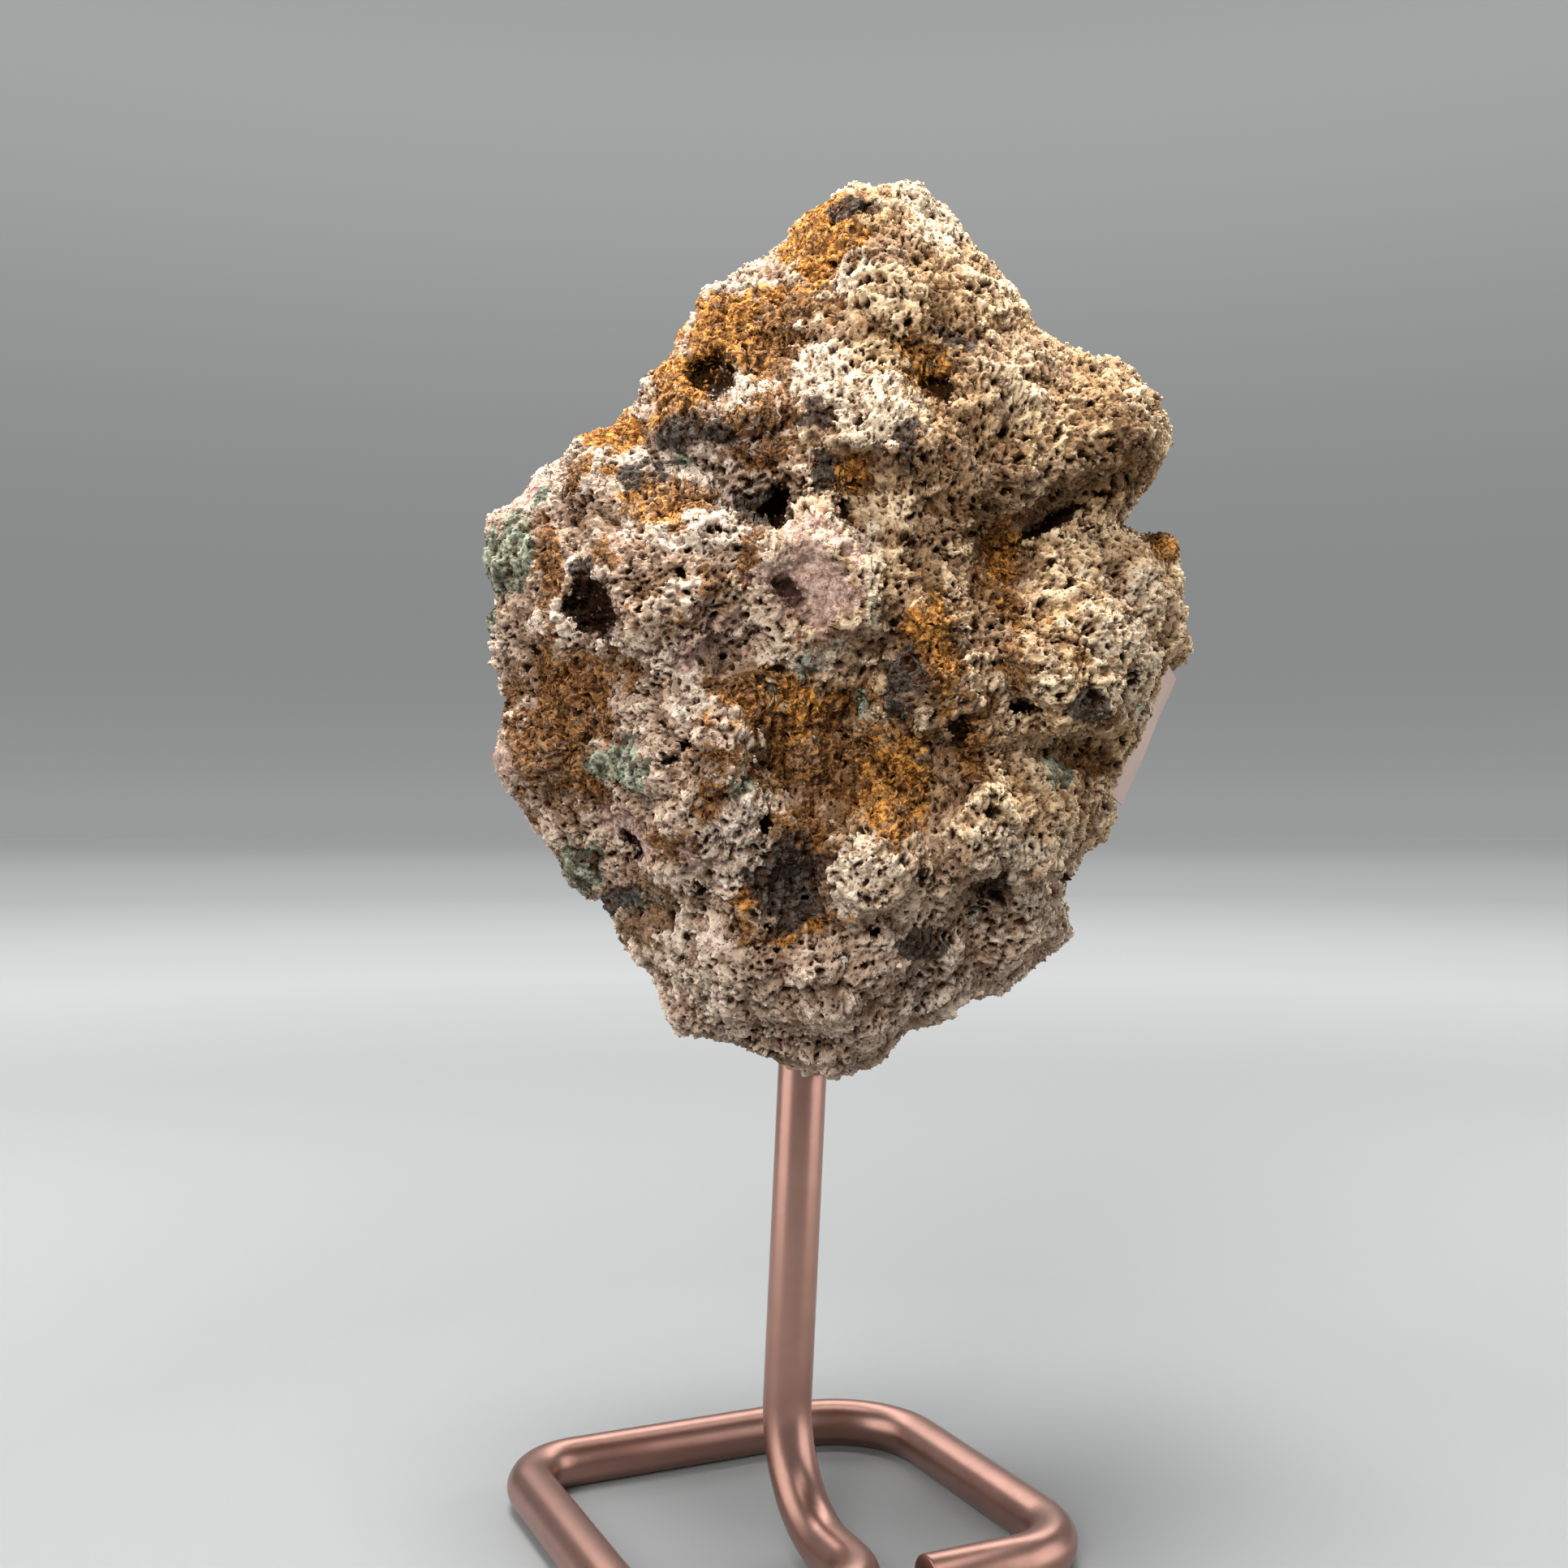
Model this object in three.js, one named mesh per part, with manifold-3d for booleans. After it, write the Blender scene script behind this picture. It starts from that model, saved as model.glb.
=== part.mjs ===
// Crusted mineral specimen held on one bent wire, with a small paper slip stuck to its edge.
// Millimetres, +Z up. The origin is on the table, under the middle of the whole part.
// The front is -Y: +X is to the right of a viewer in front, +Y is away from that viewer.

import * as THREE from "three";
import { mergeVertices } from "three/addons/utils/BufferGeometryUtils.js";
import Module from "manifold-3d";

const wasm = await Module();
wasm.setup();

// Clear space between pieces that touch.
const SEAT_GAP = 0.3;

// Stand: one length of round wire.
const WIRE_RADIUS = 2.0;
const WIRE_SIDES = 14;
const LOOP_HALF_WIDTH = 17.5;
const LOOP_HALF_DEPTH = 16.75;
const LOOP_TURN = THREE.MathUtils.degToRad(24.7);
const RIGHT_CORNER_RADIUS = 5.5;
const BACK_CORNER_RADIUS = 8.5;
const SIDE_CORNER_RADIUS = 5.0;
const JOG_BEND_RADIUS = 5.0;
const ROD_BEND_RADIUS = 9.0;
const BEND_STEPS = 7;
const CUT_END_X = 4.0;
const ROD_LEAN = THREE.MathUtils.degToRad(2.63);
const ROD_TOP = 50.0;

// Rock: its outline is laid out as an eye level with its lower half sees it.
// A point nearer that eye is drawn in toward the eye's axis, a point behind is let out.
const EYE_DISTANCE = 140.0;
const EYE_HEIGHT = 58.8;
const ROCK_CENTRE_X = 4.4;
const ROCK_CENTRE_Z = 74.0;
const ROCK_MIDDLE_Y = 1.0;
const FRONT_DEPTH = 17.5;
const BACK_DEPTH = 18.5;
const BLOCKINESS = 0.82;
const ROCK_DETAIL = 18;
const SMOOTHING_ANGLE = THREE.MathUtils.degToRad(28);
const SMOOTHING_SAMPLES = 9;
const SEAM_WANDER = 3.0;
const SLIP_SEAM_SHIFT = 5.0;
const SLIP_SEAM_ANGLE = -0.3;
const SLIP_SEAM_SPREAD = 0.35;
const RELIEF_FADE = 0.38;
const RUGGED_SIZE = 7.0;
const RUGGED_HEIGHT = 1.3;
const KNOBBLY_SIZE = 3.4;
const KNOBBLY_HEIGHT = 0.8;
const KNOB_SIZE = 5.0;
const KNOB_HEIGHT = 2.3;
const KNOB_LEVEL = 0.32;
const KNOB_SCATTER = 0.42;
const LOWEST_KNOB = 0.4;
const KNOB_GRID_SHIFT = 13;
const SECOND_DRAW = [31, -17, 5];
const THIRD_DRAW = [-11, 23, -41];

// Outline of the rock, clockwise from its top: [across, up].
const ROCK_OUTLINE = [
  [6.0, 110.3], [8.3, 110.1], [10.9, 109.8], [13.5, 108.1], [15.3, 105.5],
  [17.9, 102.6], [20.7, 98.5], [22.8, 96.8], [25.3, 96.0], [27.5, 95.7],
  [29.0, 94.3], [30.7, 92.8], [31.2, 88.7], [30.0, 85.8], [27.7, 83.7],
  [26.7, 82.8], [27.1, 81.7], [27.9, 81.3], [29.8, 80.8], [31.5, 80.7],
  [32.5, 77.1], [33.3, 72.8], [33.1, 71.3], [32.2, 70.2], [31.4, 67.9],
  [30.2, 65.1], [28.6, 61.9], [27.0, 59.6], [26.1, 56.9], [24.2, 55.3],
  [22.3, 53.3], [22.5, 50.3], [22.7, 49.2], [21.1, 46.9], [17.5, 44.9],
  [13.6, 43.2], [9.8, 40.6], [6.7, 38.1], [4.2, 37.2], [3.1, 37.9],
  [-0.5, 38.5], [-3.1, 40.0], [-5.7, 40.6], [-8.2, 41.3], [-9.5, 43.9],
  [-11.3, 46.9], [-12.7, 49.4], [-14.3, 52.2], [-17.1, 53.1], [-18.5, 55.7],
  [-20.3, 58.9], [-22.2, 61.0], [-23.3, 61.9], [-23.6, 63.3], [-22.6, 65.9],
  [-22.1, 68.1], [-23.0, 71.0], [-23.5, 74.9], [-22.8, 76.9], [-24.1, 79.7],
  [-23.7, 82.8], [-21.5, 84.7], [-18.5, 87.3], [-15.3, 89.3], [-13.1, 90.1],
  [-11.6, 92.7], [-9.0, 95.7], [-6.9, 99.2], [-5.8, 101.7], [-3.7, 102.8],
  [-0.9, 104.7], [1.1, 106.3], [2.4, 107.9], [4.3, 109.4],
];

// Lumps (height above 0) and hollows (below 0) of the front face.
// across, up, half width, half height, turn in degrees, height, and sharp for a steep edge.
const FRONT_RELIEF = [
  { name: "topShoulder", at: [10.0, 103.0], size: [5.5, 6.0], turn: 0, height: 1.8 },
  { name: "topFlankSlope", at: [-1.0, 99.0], size: [7.0, 6.0], turn: 45, height: -2.6 },
  { name: "upperLedge", at: [-1.9, 92.6], size: [5.6, 1.7], turn: 20, height: 1.9 },
  { name: "brow", at: [7.2, 90.8], size: [6.0, 3.0], turn: -30, height: 2.8, sharp: true },
  { name: "browFace", at: [7.8, 88.0], size: [4.6, 3.8], turn: -10, height: 1.2 },
  { name: "browPit", at: [7.4, 86.0], size: [3.0, 2.0], turn: 0, height: -1.8 },
  { name: "browUndercut", at: [7.6, 82.9], size: [5.2, 2.2], turn: -10, height: -1.6 },
  { name: "upperPit", at: [11.6, 94.9], size: [2.4, 1.9], turn: -25, height: -3.4 },
  { name: "rightFace", at: [19.0, 90.0], size: [7.0, 6.0], turn: -40, height: 1.6 },
  { name: "rightLobe", at: [28.2, 89.6], size: [3.6, 4.2], turn: 0, height: 3.8 },
  { name: "rightCrevice", at: [22.2, 84.0], size: [4.8, 2.1], turn: 27, height: -3.4 },
  { name: "crevicePocket", at: [18.6, 79.6], size: [2.4, 3.2], turn: -20, height: -3.2 },
  { name: "darkBand", at: [-6.0, 86.6], size: [8.5, 2.2], turn: -22, height: -2.4 },
  { name: "crossHole", at: [-0.2, 83.8], size: [2.4, 2.2], turn: 0, height: -2.6 },
  { name: "middleBoss", at: [3.0, 77.9], size: [5.2, 6.0], turn: 10, height: 3.8, sharp: true },
  { name: "lilacHollow", at: [2.0, 77.2], size: [3.0, 3.4], turn: 20, height: -3.0, sharp: true },
  { name: "leftBoss", at: [-9.6, 77.8], size: [6.6, 5.4], turn: 15, height: 3.8, sharp: true },
  { name: "leftNub", at: [-21.6, 79.6], size: [2.6, 3.2], turn: 0, height: 1.8 },
  { name: "leftStep", at: [-17.6, 82.0], size: [2.6, 3.6], turn: 35, height: -2.2 },
  { name: "rustFlank", at: [-17.6, 67.6], size: [4.6, 5.6], turn: 0, height: -2.4 },
  { name: "pillar", at: [-6.6, 61.6], size: [4.0, 7.6], turn: 12, height: 3.4, sharp: true },
  { name: "valley", at: [5.2, 64.6], size: [5.2, 7.2], turn: -8, height: -3.4 },
  { name: "valleyRib", at: [11.8, 70.4], size: [2.0, 4.6], turn: 8, height: 1.9 },
  { name: "rightMass", at: [24.4, 70.8], size: [5.8, 6.0], turn: -20, height: 4.4, sharp: true },
  { name: "massNotch", at: [18.8, 68.0], size: [2.7, 2.6], turn: 30, height: -3.0 },
  { name: "undercutRight", at: [22.0, 63.6], size: [4.2, 2.1], turn: 12, height: -2.8 },
  { name: "lowerRightMass", at: [18.0, 57.0], size: [5.4, 5.0], turn: 0, height: 3.0, sharp: true },
  { name: "greenPit", at: [17.2, 52.3], size: [2.2, 1.8], turn: 0, height: -2.2 },
  { name: "lowerLump", at: [7.4, 54.2], size: [3.6, 4.4], turn: 0, height: 3.0, sharp: true },
  { name: "darkPit", at: [1.6, 51.8], size: [3.0, 3.4], turn: 0, height: -3.0 },
  { name: "footShelf", at: [2.0, 45.4], size: [9.0, 3.4], turn: -4, height: 2.0 },
  { name: "leftLedge", at: [-14.6, 56.4], size: [5.4, 2.4], turn: -28, height: -1.8 },
];

// The same for the back face: a shallow bowl lined with small crystals, and broad lumps.
const BACK_RELIEF = [
  { name: "druseBowl", at: [2.5, 76.0], size: [11.0, 14.0], turn: 12, height: -4.2, sharp: true },
  { name: "backShoulder", at: [17.0, 92.0], size: [7.0, 6.0], turn: -35, height: 2.4 },
  { name: "backHip", at: [-14.0, 66.0], size: [6.0, 8.0], turn: 20, height: 2.2 },
  { name: "backKnob", at: [15.0, 57.0], size: [6.0, 5.0], turn: 0, height: 2.8, sharp: true },
  { name: "backCleft", at: [-8.0, 92.0], size: [2.6, 7.0], turn: -40, height: -2.8 },
  { name: "backFoot", at: [1.0, 47.0], size: [7.0, 4.0], turn: 0, height: 1.6 },
];

// Deep holes cut into the front: centre [across, up], half sizes, and how far in the middle lies.
const VUGS = [
  { name: "roundVug", at: [-15.5, 75.5], size: [1.9, 2.5], reach: 3.6 },
  { name: "upperVug", at: [-6.1, 94.8], size: [1.8, 1.7], reach: 3.0 },
  { name: "slotVug", at: [-12.1, 56.2], size: [1.6, 0.6], reach: 2.2 },
];
const VUG_DETAIL = 3;
const DEPTH_STEPS = 80;

// Paper slip on the right-hand edge.
const SLIP_LENGTH = 12.0;
const SLIP_WIDTH = 8.0;
const SLIP_THICKNESS = 0.3;
const SLIP_CENTRE = new THREE.Vector3(30.7, 4.6, 65.4);
const SLIP_DOWN = new THREE.Vector3(-0.39, 0, -0.92);
const SLIP_ACROSS = new THREE.Vector3(0.37, 0.93, 0);
const FACET_AHEAD = 8.0;
const FACET_BEHIND = 4.0;
const SEAT_MARGIN = 1.6;
const SEAT_CUT_HEIGHT = 5.0;

// Materials.
const crustMaterial = new THREE.MeshStandardMaterial({ color: 0xa08468, roughness: 0.95, metalness: 0 });
const wireMaterial = new THREE.MeshStandardMaterial({ color: 0xc08878, roughness: 0.32, metalness: 1 });
const paperMaterial = new THREE.MeshStandardMaterial({ color: 0xbfa9a0, roughness: 0.8, metalness: 0 });

// A centre line that is known only at its stations, where the sweep sets its rings.
class StationPath extends THREE.Curve {
  constructor(stations) {
    super();
    this.stations = stations;
  }

  station(u) {
    return this.stations[Math.round(u * (this.stations.length - 1))];
  }

  getPointAt(u, target = new THREE.Vector3()) {
    return target.copy(this.station(u).point);
  }

  getTangentAt(u, target = new THREE.Vector3()) {
    return target.copy(this.station(u).tangent);
  }
}

// Stations of a round bend at a corner between two straight runs.
function bendStations(before, corner, after, radius) {
  const inward = corner.clone().sub(before).normalize();
  const outward = after.clone().sub(corner).normalize();
  const turn = inward.angleTo(outward);
  const setback = radius * Math.tan(turn / 2);
  const start = corner.clone().addScaledVector(inward, -setback);
  const side = outward.clone().addScaledVector(inward, -outward.dot(inward)).normalize();
  const stations = [];
  for (let i = 0; i <= BEND_STEPS; i += 1) {
    const angle = (turn * i) / BEND_STEPS;
    const point = start.clone();
    point.addScaledVector(inward, radius * Math.sin(angle));
    point.addScaledVector(side, radius * (1 - Math.cos(angle)));
    const tangent = inward.clone().multiplyScalar(Math.cos(angle));
    tangent.addScaledVector(side, Math.sin(angle)).normalize();
    stations.push({ point, tangent });
  }
  return stations;
}

// Round section whose lowest side is flat, so the wire bears on the table along its run.
function wireSection(radius) {
  const cornerRadius = radius / Math.cos(Math.PI / WIRE_SIDES);
  const corners = [];
  for (let i = 0; i < WIRE_SIDES; i += 1) {
    const angle = ((i + 0.5) * 2 * Math.PI) / WIRE_SIDES;
    corners.push(new THREE.Vector2(cornerRadius * Math.cos(angle), cornerRadius * Math.sin(angle)));
  }
  return new THREE.Shape(corners);
}

function sweep(section, stations) {
  return new THREE.ExtrudeGeometry(section, {
    steps: stations.length - 1,
    bevelEnabled: false,
    extrudePath: new StationPath(stations),
  });
}

// A corner of the base loop, given in the loop's own square and turned with it.
function onLoop(x, y) {
  const corner = new THREE.Vector3(x, y, WIRE_RADIUS);
  return corner.applyAxisAngle(new THREE.Vector3(0, 0, 1), LOOP_TURN);
}

function rodPoint(height) {
  return new THREE.Vector3(Math.tan(ROD_LEAN) * (height - WIRE_RADIUS), 0, height);
}

function standGeometry() {
  const corners = [
    { at: onLoop(CUT_END_X, -LOOP_HALF_DEPTH) },
    { at: onLoop(LOOP_HALF_WIDTH, -LOOP_HALF_DEPTH), radius: RIGHT_CORNER_RADIUS },
    { at: onLoop(LOOP_HALF_WIDTH, LOOP_HALF_DEPTH), radius: BACK_CORNER_RADIUS },
    { at: onLoop(-LOOP_HALF_WIDTH, LOOP_HALF_DEPTH), radius: SIDE_CORNER_RADIUS },
    { at: onLoop(-LOOP_HALF_WIDTH, -LOOP_HALF_DEPTH), radius: SIDE_CORNER_RADIUS },
    { at: onLoop(0, -LOOP_HALF_DEPTH), radius: JOG_BEND_RADIUS },
    { at: onLoop(0, 0), radius: ROD_BEND_RADIUS },
    { at: rodPoint(ROD_TOP) },
  ];
  const first = corners[0].at;
  const last = corners[corners.length - 1].at;
  const stations = [{ point: first, tangent: corners[1].at.clone().sub(first).normalize() }];
  for (let i = 1; i < corners.length - 1; i += 1) {
    const bend = bendStations(corners[i - 1].at, corners[i].at, corners[i + 1].at, corners[i].radius);
    stations.push(...bend);
  }
  const upright = last.clone().sub(corners[corners.length - 2].at).normalize();
  stations.push({ point: last, tangent: upright });
  return sweep(wireSection(WIRE_RADIUS), stations);
}

// Smooth random value between -1 and 1 that changes over about one unit.
function latticeValue(i, j, k) {
  const scrambled = Math.sin(i * 127.1 + j * 311.7 + k * 74.7) * 43758.5453;
  return 2 * (scrambled - Math.floor(scrambled)) - 1;
}

function smoothNoise(x, y, z) {
  const [i, j, k] = [Math.floor(x), Math.floor(y), Math.floor(z)];
  const ease = (t) => t * t * (3 - 2 * t);
  const [u, v, w] = [ease(x - i), ease(y - j), ease(z - k)];
  let total = 0;
  for (const [di, wi] of [[0, 1 - u], [1, u]]) {
    for (const [dj, wj] of [[0, 1 - v], [1, v]]) {
      for (const [dk, wk] of [[0, 1 - w], [1, w]]) {
        total += wi * wj * wk * latticeValue(i + di, j + dj, k + dk);
      }
    }
  }
  return total;
}

// Distance from the rock's centre to its outline in one direction of the front view.
function outlineReach(angle) {
  const ray = [Math.cos(angle), Math.sin(angle)];
  for (let i = 0; i < ROCK_OUTLINE.length; i += 1) {
    const from = ROCK_OUTLINE[i];
    const to = ROCK_OUTLINE[(i + 1) % ROCK_OUTLINE.length];
    const a = [from[0] - ROCK_CENTRE_X, from[1] - ROCK_CENTRE_Z];
    const b = [to[0] - ROCK_CENTRE_X, to[1] - ROCK_CENTRE_Z];
    const sideA = ray[0] * a[1] - ray[1] * a[0];
    const sideB = ray[0] * b[1] - ray[1] * b[0];
    if (sideA >= 0 && sideB < 0) {
      const share = sideA / (sideA - sideB);
      const x = a[0] + share * (b[0] - a[0]);
      const z = a[1] + share * (b[1] - a[1]);
      return Math.hypot(x, z);
    }
  }
  throw new Error("the outline does not go round the centre of the rock");
}

function smoothReach(angle) {
  let total = 0;
  for (let i = 0; i < SMOOTHING_SAMPLES; i += 1) {
    const share = (2 * i) / (SMOOTHING_SAMPLES - 1) - 1;
    total += outlineReach(angle + share * SMOOTHING_ANGLE);
  }
  return total / SMOOTHING_SAMPLES;
}

// Sum of the lumps and hollows at one place of a face.
function reliefHeight(features, across, up) {
  let height = 0;
  for (const feature of features) {
    const turn = THREE.MathUtils.degToRad(feature.turn);
    const dx = across - feature.at[0];
    const dz = up - feature.at[1];
    const alongX = (dx * Math.cos(turn) + dz * Math.sin(turn)) / feature.size[0];
    const alongZ = (dz * Math.cos(turn) - dx * Math.sin(turn)) / feature.size[1];
    const square = alongX * alongX + alongZ * alongZ;
    height += feature.height * Math.exp(-(feature.sharp ? square * square : square));
  }
  return height;
}

// The widest line round the rock is not in one plane: it wanders to and fro.
function seamOffset(angle) {
  const behindSlip = SLIP_SEAM_SHIFT * Math.exp(-(((angle - SLIP_SEAM_ANGLE) / SLIP_SEAM_SPREAD) ** 2));
  const slowWave = 0.6 * Math.sin(2 * angle + 1.2);
  const quickWave = 0.4 * Math.sin(5 * angle);
  return SEAM_WANDER * (slowWave + quickWave) + behindSlip;
}

// Height of the round knobs at a point: each stands round its own centre in a loose grid.
function knobHeight(point) {
  const place = point.clone().divideScalar(KNOB_SIZE).addScalar(KNOB_GRID_SHIFT);
  const corner = place.clone().floor();
  let nearest = Infinity;
  let own = 0;
  for (const di of [-1, 0, 1]) {
    for (const dj of [-1, 0, 1]) {
      for (const dk of [-1, 0, 1]) {
        const [i, j, k] = [corner.x + di, corner.y + dj, corner.z + dk];
        const first = latticeValue(i, j, k);
        const second = latticeValue(i + SECOND_DRAW[0], j + SECOND_DRAW[1], k + SECOND_DRAW[2]);
        const third = latticeValue(i + THIRD_DRAW[0], j + THIRD_DRAW[1], k + THIRD_DRAW[2]);
        const scatter = new THREE.Vector3(first, second, third);
        const centre = new THREE.Vector3(i + 0.5, j + 0.5, k + 0.5).addScaledVector(scatter, KNOB_SCATTER);
        const apart = place.distanceToSquared(centre);
        if (apart < nearest) {
          nearest = apart;
          own = second;
        }
      }
    }
  }
  const share = THREE.MathUtils.mapLinear(own, -1, 1, LOWEST_KNOB, 1);
  return KNOB_HEIGHT * share * (KNOB_LEVEL - nearest);
}

// Place in the rock's own space of a point seen at [across, up] at a given depth.
function letOut(across, depth, up) {
  const scale = (EYE_DISTANCE + depth) / EYE_DISTANCE;
  return new THREE.Vector3(across * scale, depth, EYE_HEIGHT + (up - EYE_HEIGHT) * scale);
}

function rockPoint(direction) {
  const angle = Math.atan2(direction.z, direction.x);
  const spread = Math.hypot(direction.x, direction.z) ** BLOCKINESS;
  const reach = THREE.MathUtils.lerp(smoothReach(angle), outlineReach(angle), spread ** 4);
  const across = ROCK_CENTRE_X + spread * reach * Math.cos(angle);
  const up = ROCK_CENTRE_Z + spread * reach * Math.sin(angle);
  const away = direction.y;
  const fade = THREE.MathUtils.smoothstep(Math.abs(away), 0, RELIEF_FADE);
  const bulge = Math.abs(away) ** BLOCKINESS;
  let depth = ROCK_MIDDLE_Y + seamOffset(angle) * spread * spread;
  if (away < 0) {
    depth -= FRONT_DEPTH * bulge + fade * reliefHeight(FRONT_RELIEF, across, up);
  } else {
    depth += BACK_DEPTH * bulge + fade * reliefHeight(BACK_RELIEF, across, up);
  }
  const point = letOut(across, depth, up);
  const rugged = RUGGED_HEIGHT * smoothNoise(
    point.x / RUGGED_SIZE, point.y / RUGGED_SIZE, point.z / RUGGED_SIZE);
  const knobbly = KNOBBLY_HEIGHT * smoothNoise(
    point.x / KNOBBLY_SIZE, point.y / KNOBBLY_SIZE, point.z / KNOBBLY_SIZE);
  point.addScaledVector(direction, fade * (rugged + knobbly));
  return point.addScaledVector(direction, fade * knobHeight(point));
}

// A closed geometry as a solid that can be cut.
function solidOf(geometry) {
  const bare = geometry.clone();
  bare.deleteAttribute("normal");
  bare.deleteAttribute("uv");
  const merged = mergeVertices(bare, 1e-4);
  return new wasm.Manifold(new wasm.Mesh({
    numProp: 3,
    vertProperties: new Float32Array(merged.attributes.position.array),
    triVerts: new Uint32Array(merged.index.array),
  }));
}

function geometryOf(solid) {
  const mesh = solid.getMesh();
  const geometry = new THREE.BufferGeometry();
  geometry.setAttribute("position", new THREE.BufferAttribute(mesh.vertProperties, 3));
  geometry.setIndex(new THREE.BufferAttribute(mesh.triVerts, 1));
  geometry.computeVertexNormals();
  return geometry;
}

function rockBody() {
  const ball = new THREE.IcosahedronGeometry(1, ROCK_DETAIL);
  ball.deleteAttribute("normal");
  ball.deleteAttribute("uv");
  const geometry = mergeVertices(ball, 1e-5);
  const position = geometry.attributes.position;
  const direction = new THREE.Vector3();
  for (let i = 0; i < position.count; i += 1) {
    direction.fromBufferAttribute(position, i).normalize();
    const point = rockPoint(direction);
    position.setXYZ(i, point.x, point.y, point.z);
  }
  return solidOf(geometry);
}

// How far toward the front the rock stands at one place of the front view.
function frontDepthAt(across, up) {
  let best = 0;
  let bestMiss = Infinity;
  const direction = new THREE.Vector3();
  const angle = Math.atan2(up - ROCK_CENTRE_Z, across - ROCK_CENTRE_X);
  for (let i = 0; i <= DEPTH_STEPS; i += 1) {
    const tilt = (i / DEPTH_STEPS) * (Math.PI / 2);
    direction.set(Math.cos(tilt) * Math.cos(angle), -Math.sin(tilt), Math.cos(tilt) * Math.sin(angle));
    const point = rockPoint(direction);
    const scale = EYE_DISTANCE / (EYE_DISTANCE + point.y);
    const miss = Math.hypot(point.x * scale - across, EYE_HEIGHT + (point.z - EYE_HEIGHT) * scale - up);
    if (miss < bestMiss) {
      bestMiss = miss;
      best = point.y;
    }
  }
  return best;
}

function vugSolid(vug) {
  const depth = frontDepthAt(vug.at[0], vug.at[1]);
  const centre = letOut(vug.at[0], depth, vug.at[1]);
  const ball = new THREE.IcosahedronGeometry(1, VUG_DETAIL);
  ball.scale(vug.size[0], vug.reach, vug.size[1]);
  ball.translate(centre.x, centre.y, centre.z);
  return solidOf(ball);
}

// The drilled hole that the rod is glued into.
function rodHole() {
  const base = rodPoint(WIRE_RADIUS + ROD_BEND_RADIUS);
  const top = rodPoint(ROD_TOP + SEAT_GAP);
  const tangent = top.clone().sub(base).normalize();
  const stations = [{ point: base, tangent }, { point: top, tangent }];
  return solidOf(sweep(wireSection(WIRE_RADIUS + SEAT_GAP), stations));
}

// Axes of the paper slip: down its length, across its width, and out of its face.
function slipAxes() {
  const down = SLIP_DOWN.clone().normalize();
  const across = SLIP_ACROSS.clone().addScaledVector(down, -SLIP_ACROSS.dot(down)).normalize();
  const out = down.clone().cross(across);
  return new THREE.Matrix4().makeBasis(down, across, out);
}

// Everything that stands above the flat facet that carries the paper slip.
// The facet runs on in front of the slip and behind it.
function facetCut() {
  const length = SLIP_LENGTH + 2 * SEAT_MARGIN;
  const width = SLIP_WIDTH + FACET_AHEAD + FACET_BEHIND;
  const block = new THREE.BoxGeometry(length, width, SEAT_CUT_HEIGHT);
  const lowest = -SLIP_THICKNESS / 2 - SEAT_GAP;
  block.translate(0, (FACET_BEHIND - FACET_AHEAD) / 2, lowest + SEAT_CUT_HEIGHT / 2);
  block.applyMatrix4(slipAxes());
  block.translate(SLIP_CENTRE.x, SLIP_CENTRE.y, SLIP_CENTRE.z);
  return solidOf(block);
}

function specimenMesh() {
  let rock = rockBody();
  for (const vug of VUGS) {
    rock = rock.subtract(vugSolid(vug));
  }
  rock = rock.subtract(rodHole());
  rock = rock.subtract(facetCut());
  const mesh = new THREE.Mesh(geometryOf(rock), crustMaterial);
  mesh.name = "specimen";
  return mesh;
}

function standMesh() {
  const mesh = new THREE.Mesh(standGeometry(), wireMaterial);
  mesh.name = "stand";
  return mesh;
}

function labelMesh() {
  const slip = new THREE.BoxGeometry(SLIP_LENGTH, SLIP_WIDTH, SLIP_THICKNESS);
  const mesh = new THREE.Mesh(slip, paperMaterial);
  mesh.name = "label";
  mesh.quaternion.setFromRotationMatrix(slipAxes());
  mesh.position.copy(SLIP_CENTRE);
  return mesh;
}

const pieces = new THREE.Group();
pieces.add(specimenMesh());
pieces.add(standMesh());
pieces.add(labelMesh());

// The pieces are laid out round the rod's foot, then moved so that the part is centred on its box.
const middle = new THREE.Box3().setFromObject(pieces).getCenter(new THREE.Vector3());
pieces.position.set(-middle.x, -middle.y, 0);

const amethystSpecimen = new THREE.Group();
amethystSpecimen.add(pieces);

export default amethystSpecimen;
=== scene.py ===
import math
import bmesh
import bpy
import numpy as np
from mathutils import Matrix, Vector


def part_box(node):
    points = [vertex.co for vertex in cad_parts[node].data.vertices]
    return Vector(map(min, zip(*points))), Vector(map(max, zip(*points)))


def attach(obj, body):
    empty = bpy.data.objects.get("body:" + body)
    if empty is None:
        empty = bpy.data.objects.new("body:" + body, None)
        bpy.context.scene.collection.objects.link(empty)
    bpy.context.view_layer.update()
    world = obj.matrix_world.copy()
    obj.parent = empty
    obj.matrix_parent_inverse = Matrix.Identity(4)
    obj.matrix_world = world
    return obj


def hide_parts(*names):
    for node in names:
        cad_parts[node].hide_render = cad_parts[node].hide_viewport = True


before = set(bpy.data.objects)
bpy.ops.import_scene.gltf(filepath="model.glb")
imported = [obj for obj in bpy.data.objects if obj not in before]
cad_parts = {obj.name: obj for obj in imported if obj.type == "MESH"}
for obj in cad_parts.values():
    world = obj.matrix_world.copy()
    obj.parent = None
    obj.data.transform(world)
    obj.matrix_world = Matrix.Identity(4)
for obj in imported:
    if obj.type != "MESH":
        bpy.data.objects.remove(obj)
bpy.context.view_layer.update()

# ------------------------ camera
# A hand-held camera close in front of the specimen, level with its lower half.
# It looks almost level, tipped up by a degree, with its axis beside the rod.
MM = 0.001
ROD_FOOT = Vector((-5.0265, 0.5714, 0.0))
EYE_DISTANCE = 140.0
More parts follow.
